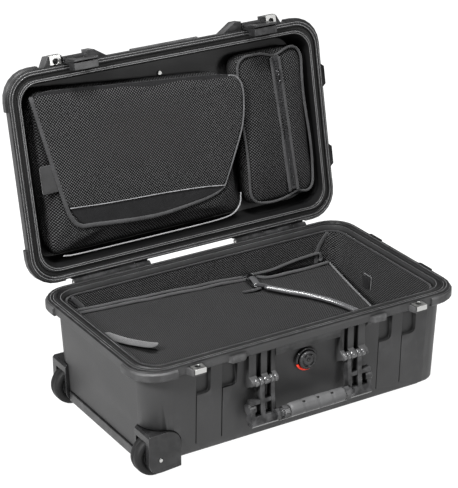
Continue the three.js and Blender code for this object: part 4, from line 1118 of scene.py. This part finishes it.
def handle_grip():
    profile = []
    for x in spread(-GRIP_HALF, GRIP_HALF, 47):
        swell_out = 0.9 * math.cos((x / GRIP_HALF) * math.pi / 2) ** 0.5 if abs(x) < GRIP_HALF else 0
        groove = 0.9 * sum(bell(x, middle, 1.2) for middle in GRIP_GROOVES)
        end = 1.2 * max(0.0, (abs(x) - GRIP_HALF + 3) / 3) ** 2
        profile.append((GRIP_RADIUS - 0.9 + swell_out - groove - end, x))
    profile += [(GRIP_CORE, GRIP_HALF), (GRIP_CORE, -GRIP_HALF)]
    rings = [circle_about_x(x, GRIP_Y, GRIP_Z, radius, 40) for radius, x in profile]
    loft(
        "handle_grip_look", rings, OVERMOULD, "front_handle", "overmould",
        closed=True, replaces=("handle_grip",),
    )
    angle = math.radians(112)
    out = Vector((0, math.cos(angle), math.sin(angle)))
    axes = (Vector((1, 0, 0)), Vector((0, -math.sin(angle), math.cos(angle))), out)
    specs = []
    for x in GRIP_GROOVES:
        specs.append((Vector((x, GRIP_Y, GRIP_Z)) + out * (GRIP_RADIUS - 0.4), (2.2, 1.5, 0.5), axes))
    boxes("handle_grip_notches", specs, GASKET, "front_handle", "overmould", bevel=0.3)


# Glossy rounded barrels on the front handle's pivots: two of each five turn with the handle. Their plastic is
# glossy, and its paler colour is a painted highlight.
def handle_knuckles():
    for side, end in ((-1, "left"), (1, "right")):
        for k, (near, far, body) in enumerate(KNUCKLE_SPANS):
            profile = [(near, 4.4), (near, 5.7), (near + 0.5, 6.2), (far - 0.5, 6.2), (far, 5.7), (far, 4.4)]
            rings = [circle_about_x(side * x, PIVOT_Y, PIVOT_Z, radius, 28) for x, radius in profile]
            made = loft("handle_knuckle_%s_%d" % (end, k), rings, KNUCKLE_PAINTED_HIGHLIGHT, body, "moulded")
            smooth_by_angle(made, 50)


def side_handle_grip():
    profile = []
    for y in spread(-SIDE_GRIP_HALF, SIDE_GRIP_HALF, 31):
        groove = 0.6 * bell(y, -12, 1.2) + 0.6 * bell(y, 12, 1.2)
        radius = 8.4 - groove - 0.6 * bell(abs(y), SIDE_GRIP_HALF, 2)
        profile.append((radius, y))
    profile += [(SIDE_GRIP_CORE, SIDE_GRIP_HALF), (SIDE_GRIP_CORE, -SIDE_GRIP_HALF)]
    turned(
        "side_handle_grip_look", profile, SIDE_GRIP_X, SIDE_GRIP_Z, OVERMOULD, "side_handle", "overmould",
        sides=32, replaces=("side_handle_grip",),
    )


def valve():
    def knob_part(name, profile, sides, **rest):
        turned(name, profile, 0, VALVE_Z, MOULDED, "valve_knob", "moulded", sides=sides, **rest)

    dish = [(2.0, -154.1), (12.6, -154.1), (14.0, -155.0), (14.0, -158.0), (13.2, -159.2), (11.0, -159.4)]
    dish += [(10.2, -159.2), (9.9, -157.9), (8.1, -157.9), (7.8, -159.2), (7.0, -159.4), (2.0, -159.4)]
    knob_part("valve_knob_look", dish, 64, replaces=("valve_knob",))
    specs = []
    for turn in (35, 155, 275):
        out, around = spoke(math.radians(turn))
        centre = Vector((0, -158.7, VALVE_Z)) + out * 9.0
        specs.append((centre, (1.3, 2.4, 0.6), (out, around, Vector((0, 1, 0)))))
    boxes("valve_knob_bridges", specs, MOULDED, "valve_knob", "moulded", bevel=0.2)
    centre = [(0.4, -159.3), (1.6, -159.3), (2.0, -158.8), (2.0, -155.0), (0.4, -155.0)]
    knob_part("valve_knob_centre", centre, 24)
    arc_ring("valve_seal_look", 200, 305, 1.9, -152.6, SEAL, "seal", ("valve_seal",))
    # A black arc round the rest of the seal's circle, where the seal lies in shade: painted shade.
    arc_ring("valve_seal_painted_shade", -53, 198, 2.2, -152.8, MOULDED, "moulded", ())


# Part of a round ring about the valve's axis, from one angle to another, as a tube with rounded ends.
def arc_ring(name, first, last, thick, y, material, slot, replaces):
    path = []
    for turn in spread(first, last, 41):
        angle = math.radians(turn)
        path.append(Vector((VALVE_RING * math.cos(angle), y, VALVE_Z + VALVE_RING * math.sin(angle))))
    tube(
        name, path, thick, material, "base", slot,
        sides=12, up=(0, 1, 0), shape=rounded_ends(60, 2), replaces=replaces,
    )


# A wheel's profiles are the same on both sides of its middle: the low side is given, and the rest mirrored.
def wheels():
    half = WHEEL_WIDTH / 2
    tread = [(31.0, -1.2), (30.6, -0.6), (30.6, 0.6), (31.0, 1.2)]
    tyre = [(19.4, -half), (25.0, -half), (28.4, -half + 0.6), (30.2, -half + 2.6), (31.0, -half + 6.0)]
    tyre = [*tyre, *tread, *((r, -y) for r, y in reversed(tyre))]
    hub = [(3.4, 0.4), (7.6, 0.4), (8.2, 1.0), (8.4, 5.5), (15.0, 5.5), (15.6, 1.4)]
    hub += [(16.2, 0.8), (18.6, 0.8), (19.1, 1.4)]
    hub = [(r, -half + depth) for r, depth in hub]
    hub = [*hub, *((r, -y) for r, y in reversed(hub))]
    parts = (("tyre", tyre, TYRE, "tyre", 72), ("hub", hub, MOULDED, "moulded", 60))
    for side, end in ((-1, "front"), (1, "rear")):
        body = "wheel_" + end
        middle = side * WHEEL_MID
        for part, profile, material, slot, sides in parts:
            node = "wheel_%s_%s" % (part, end)
            moved = [(r, middle + y) for r, y in profile]
            name = node + "_look"
            turned(name, moved, WHEEL_X, WHEEL_Z, material, body, slot, sides=sides, replaces=(node,))
        specs = []
        for k in range(6):
            out, around = spoke(math.pi / 3 * k)
            centre = Vector((WHEEL_X, middle, WHEEL_Z)) + out * 11.8
            specs.append((centre, (4.0, 1.4, half - 1.8), (out, around, Vector((0, 1, 0)))))
        boxes("wheel_spokes_" + end, specs, MOULDED, body, "moulded", bevel=0.4)


# ------------------------------------------------------------------ shells and hard fittings
def lid_rim_or_wall(centre, normal):
    rim = centre.z < PARTING + 5 and normal.z < -0.3
    wall = abs(normal.z) < 0.5 and normal.x * centre.x + normal.y * centre.y < 0
    return rim or wall


# Paints shade onto the faces that the test picks (rim faces, and for the lid its inner walls): a darker
# plastic as painted shade. The test gets each face's middle and direction with the lid shut.
def paint_rim_shade(made, to_shut, on_rim):
    made.data.materials.append(RIM_PAINTED_SHADE)
    for polygon in made.data.polygons:
        centre = to_shut @ polygon.center / MM
        normal = to_shut.to_3x3() @ polygon.normal
        if on_rim(centre, normal):
            polygon.material_index = 1


def hard_parts():
    base = refine("base_shell", SHELL)
    # Painted shade: the rims' faces, and the lid's inner walls, take the darker plastic.
    paint_rim_shade(base, HOME, lambda centre, normal: centre.z > PARTING - 4 and normal.z > 0.3)
    lid = refine("lid_shell", LID_SHELL)
    paint_rim_shade(lid, LID.inverted(), lid_rim_or_wall)
    looks = (
        (MOULDED, "moulded", 0.7, ("latch_clip_left", "latch_clip_right")),
        (MOULDED, "moulded", 0.7, ("latch_lever_left", "latch_lever_right")),
        (MOULDED, "moulded", 0.8, ("wheel_housing_front", "wheel_housing_rear", "end_bumper")),
        (MOULDED, "moulded", 0.8, ("trolley_housing", "trolley_cover_plate")),
        (MOULDED, "moulded", 1.2, ("trolley_collar", "trolley_grip", "side_handle_frame")),
        (MOULDED, "moulded", 0.5, ("handle_frame",)),
        (STEEL, "steel", 0.35, ("base_padlock_plate_left", "base_padlock_plate_right")),
        (STEEL, "steel", 0.35, ("lid_padlock_plate_left", "lid_padlock_plate_right")),
        (ALUMINIUM, "aluminium", 0.8, ("outer_tube_front", "outer_tube_rear")),
        (ALUMINIUM, "aluminium", 0.8, ("inner_tube_front", "inner_tube_rear")),
        (OVERMOULD, "overmould", 1.5, ("trolley_button",)),
    )
    for material, slot, edge, names in looks:
        for name in names:
            refine(name, material, edge)
    plain = {"lid_gasket": GASKET, "valve_body": MOULDED, "valve_seal": SEAL, "lid_stud": STEEL}
    for name, material in plain.items():
        paint(name, material)
    for name in nodes:
        if "_pin_" in name or "axle" in name:
            paint(name, STEEL)


# Gives a CAD node that stays visible its own material.
def paint(name, material):
    mesh = nodes[name].data
    mesh.materials.clear()
    mesh.materials.append(material)


hard_parts()
rim_beads()
laptop_pouch()
laptop_flap()
accessory_pouch()
lid_zip()
liner_walls()
wall_patch()
floor_pad()
cover_panel()
base_zip()
carry_strap()
pull_tab()
handle_grip()
handle_knuckles()
side_handle_grip()
valve()
wheels()

bpy.context.view_layer.update()
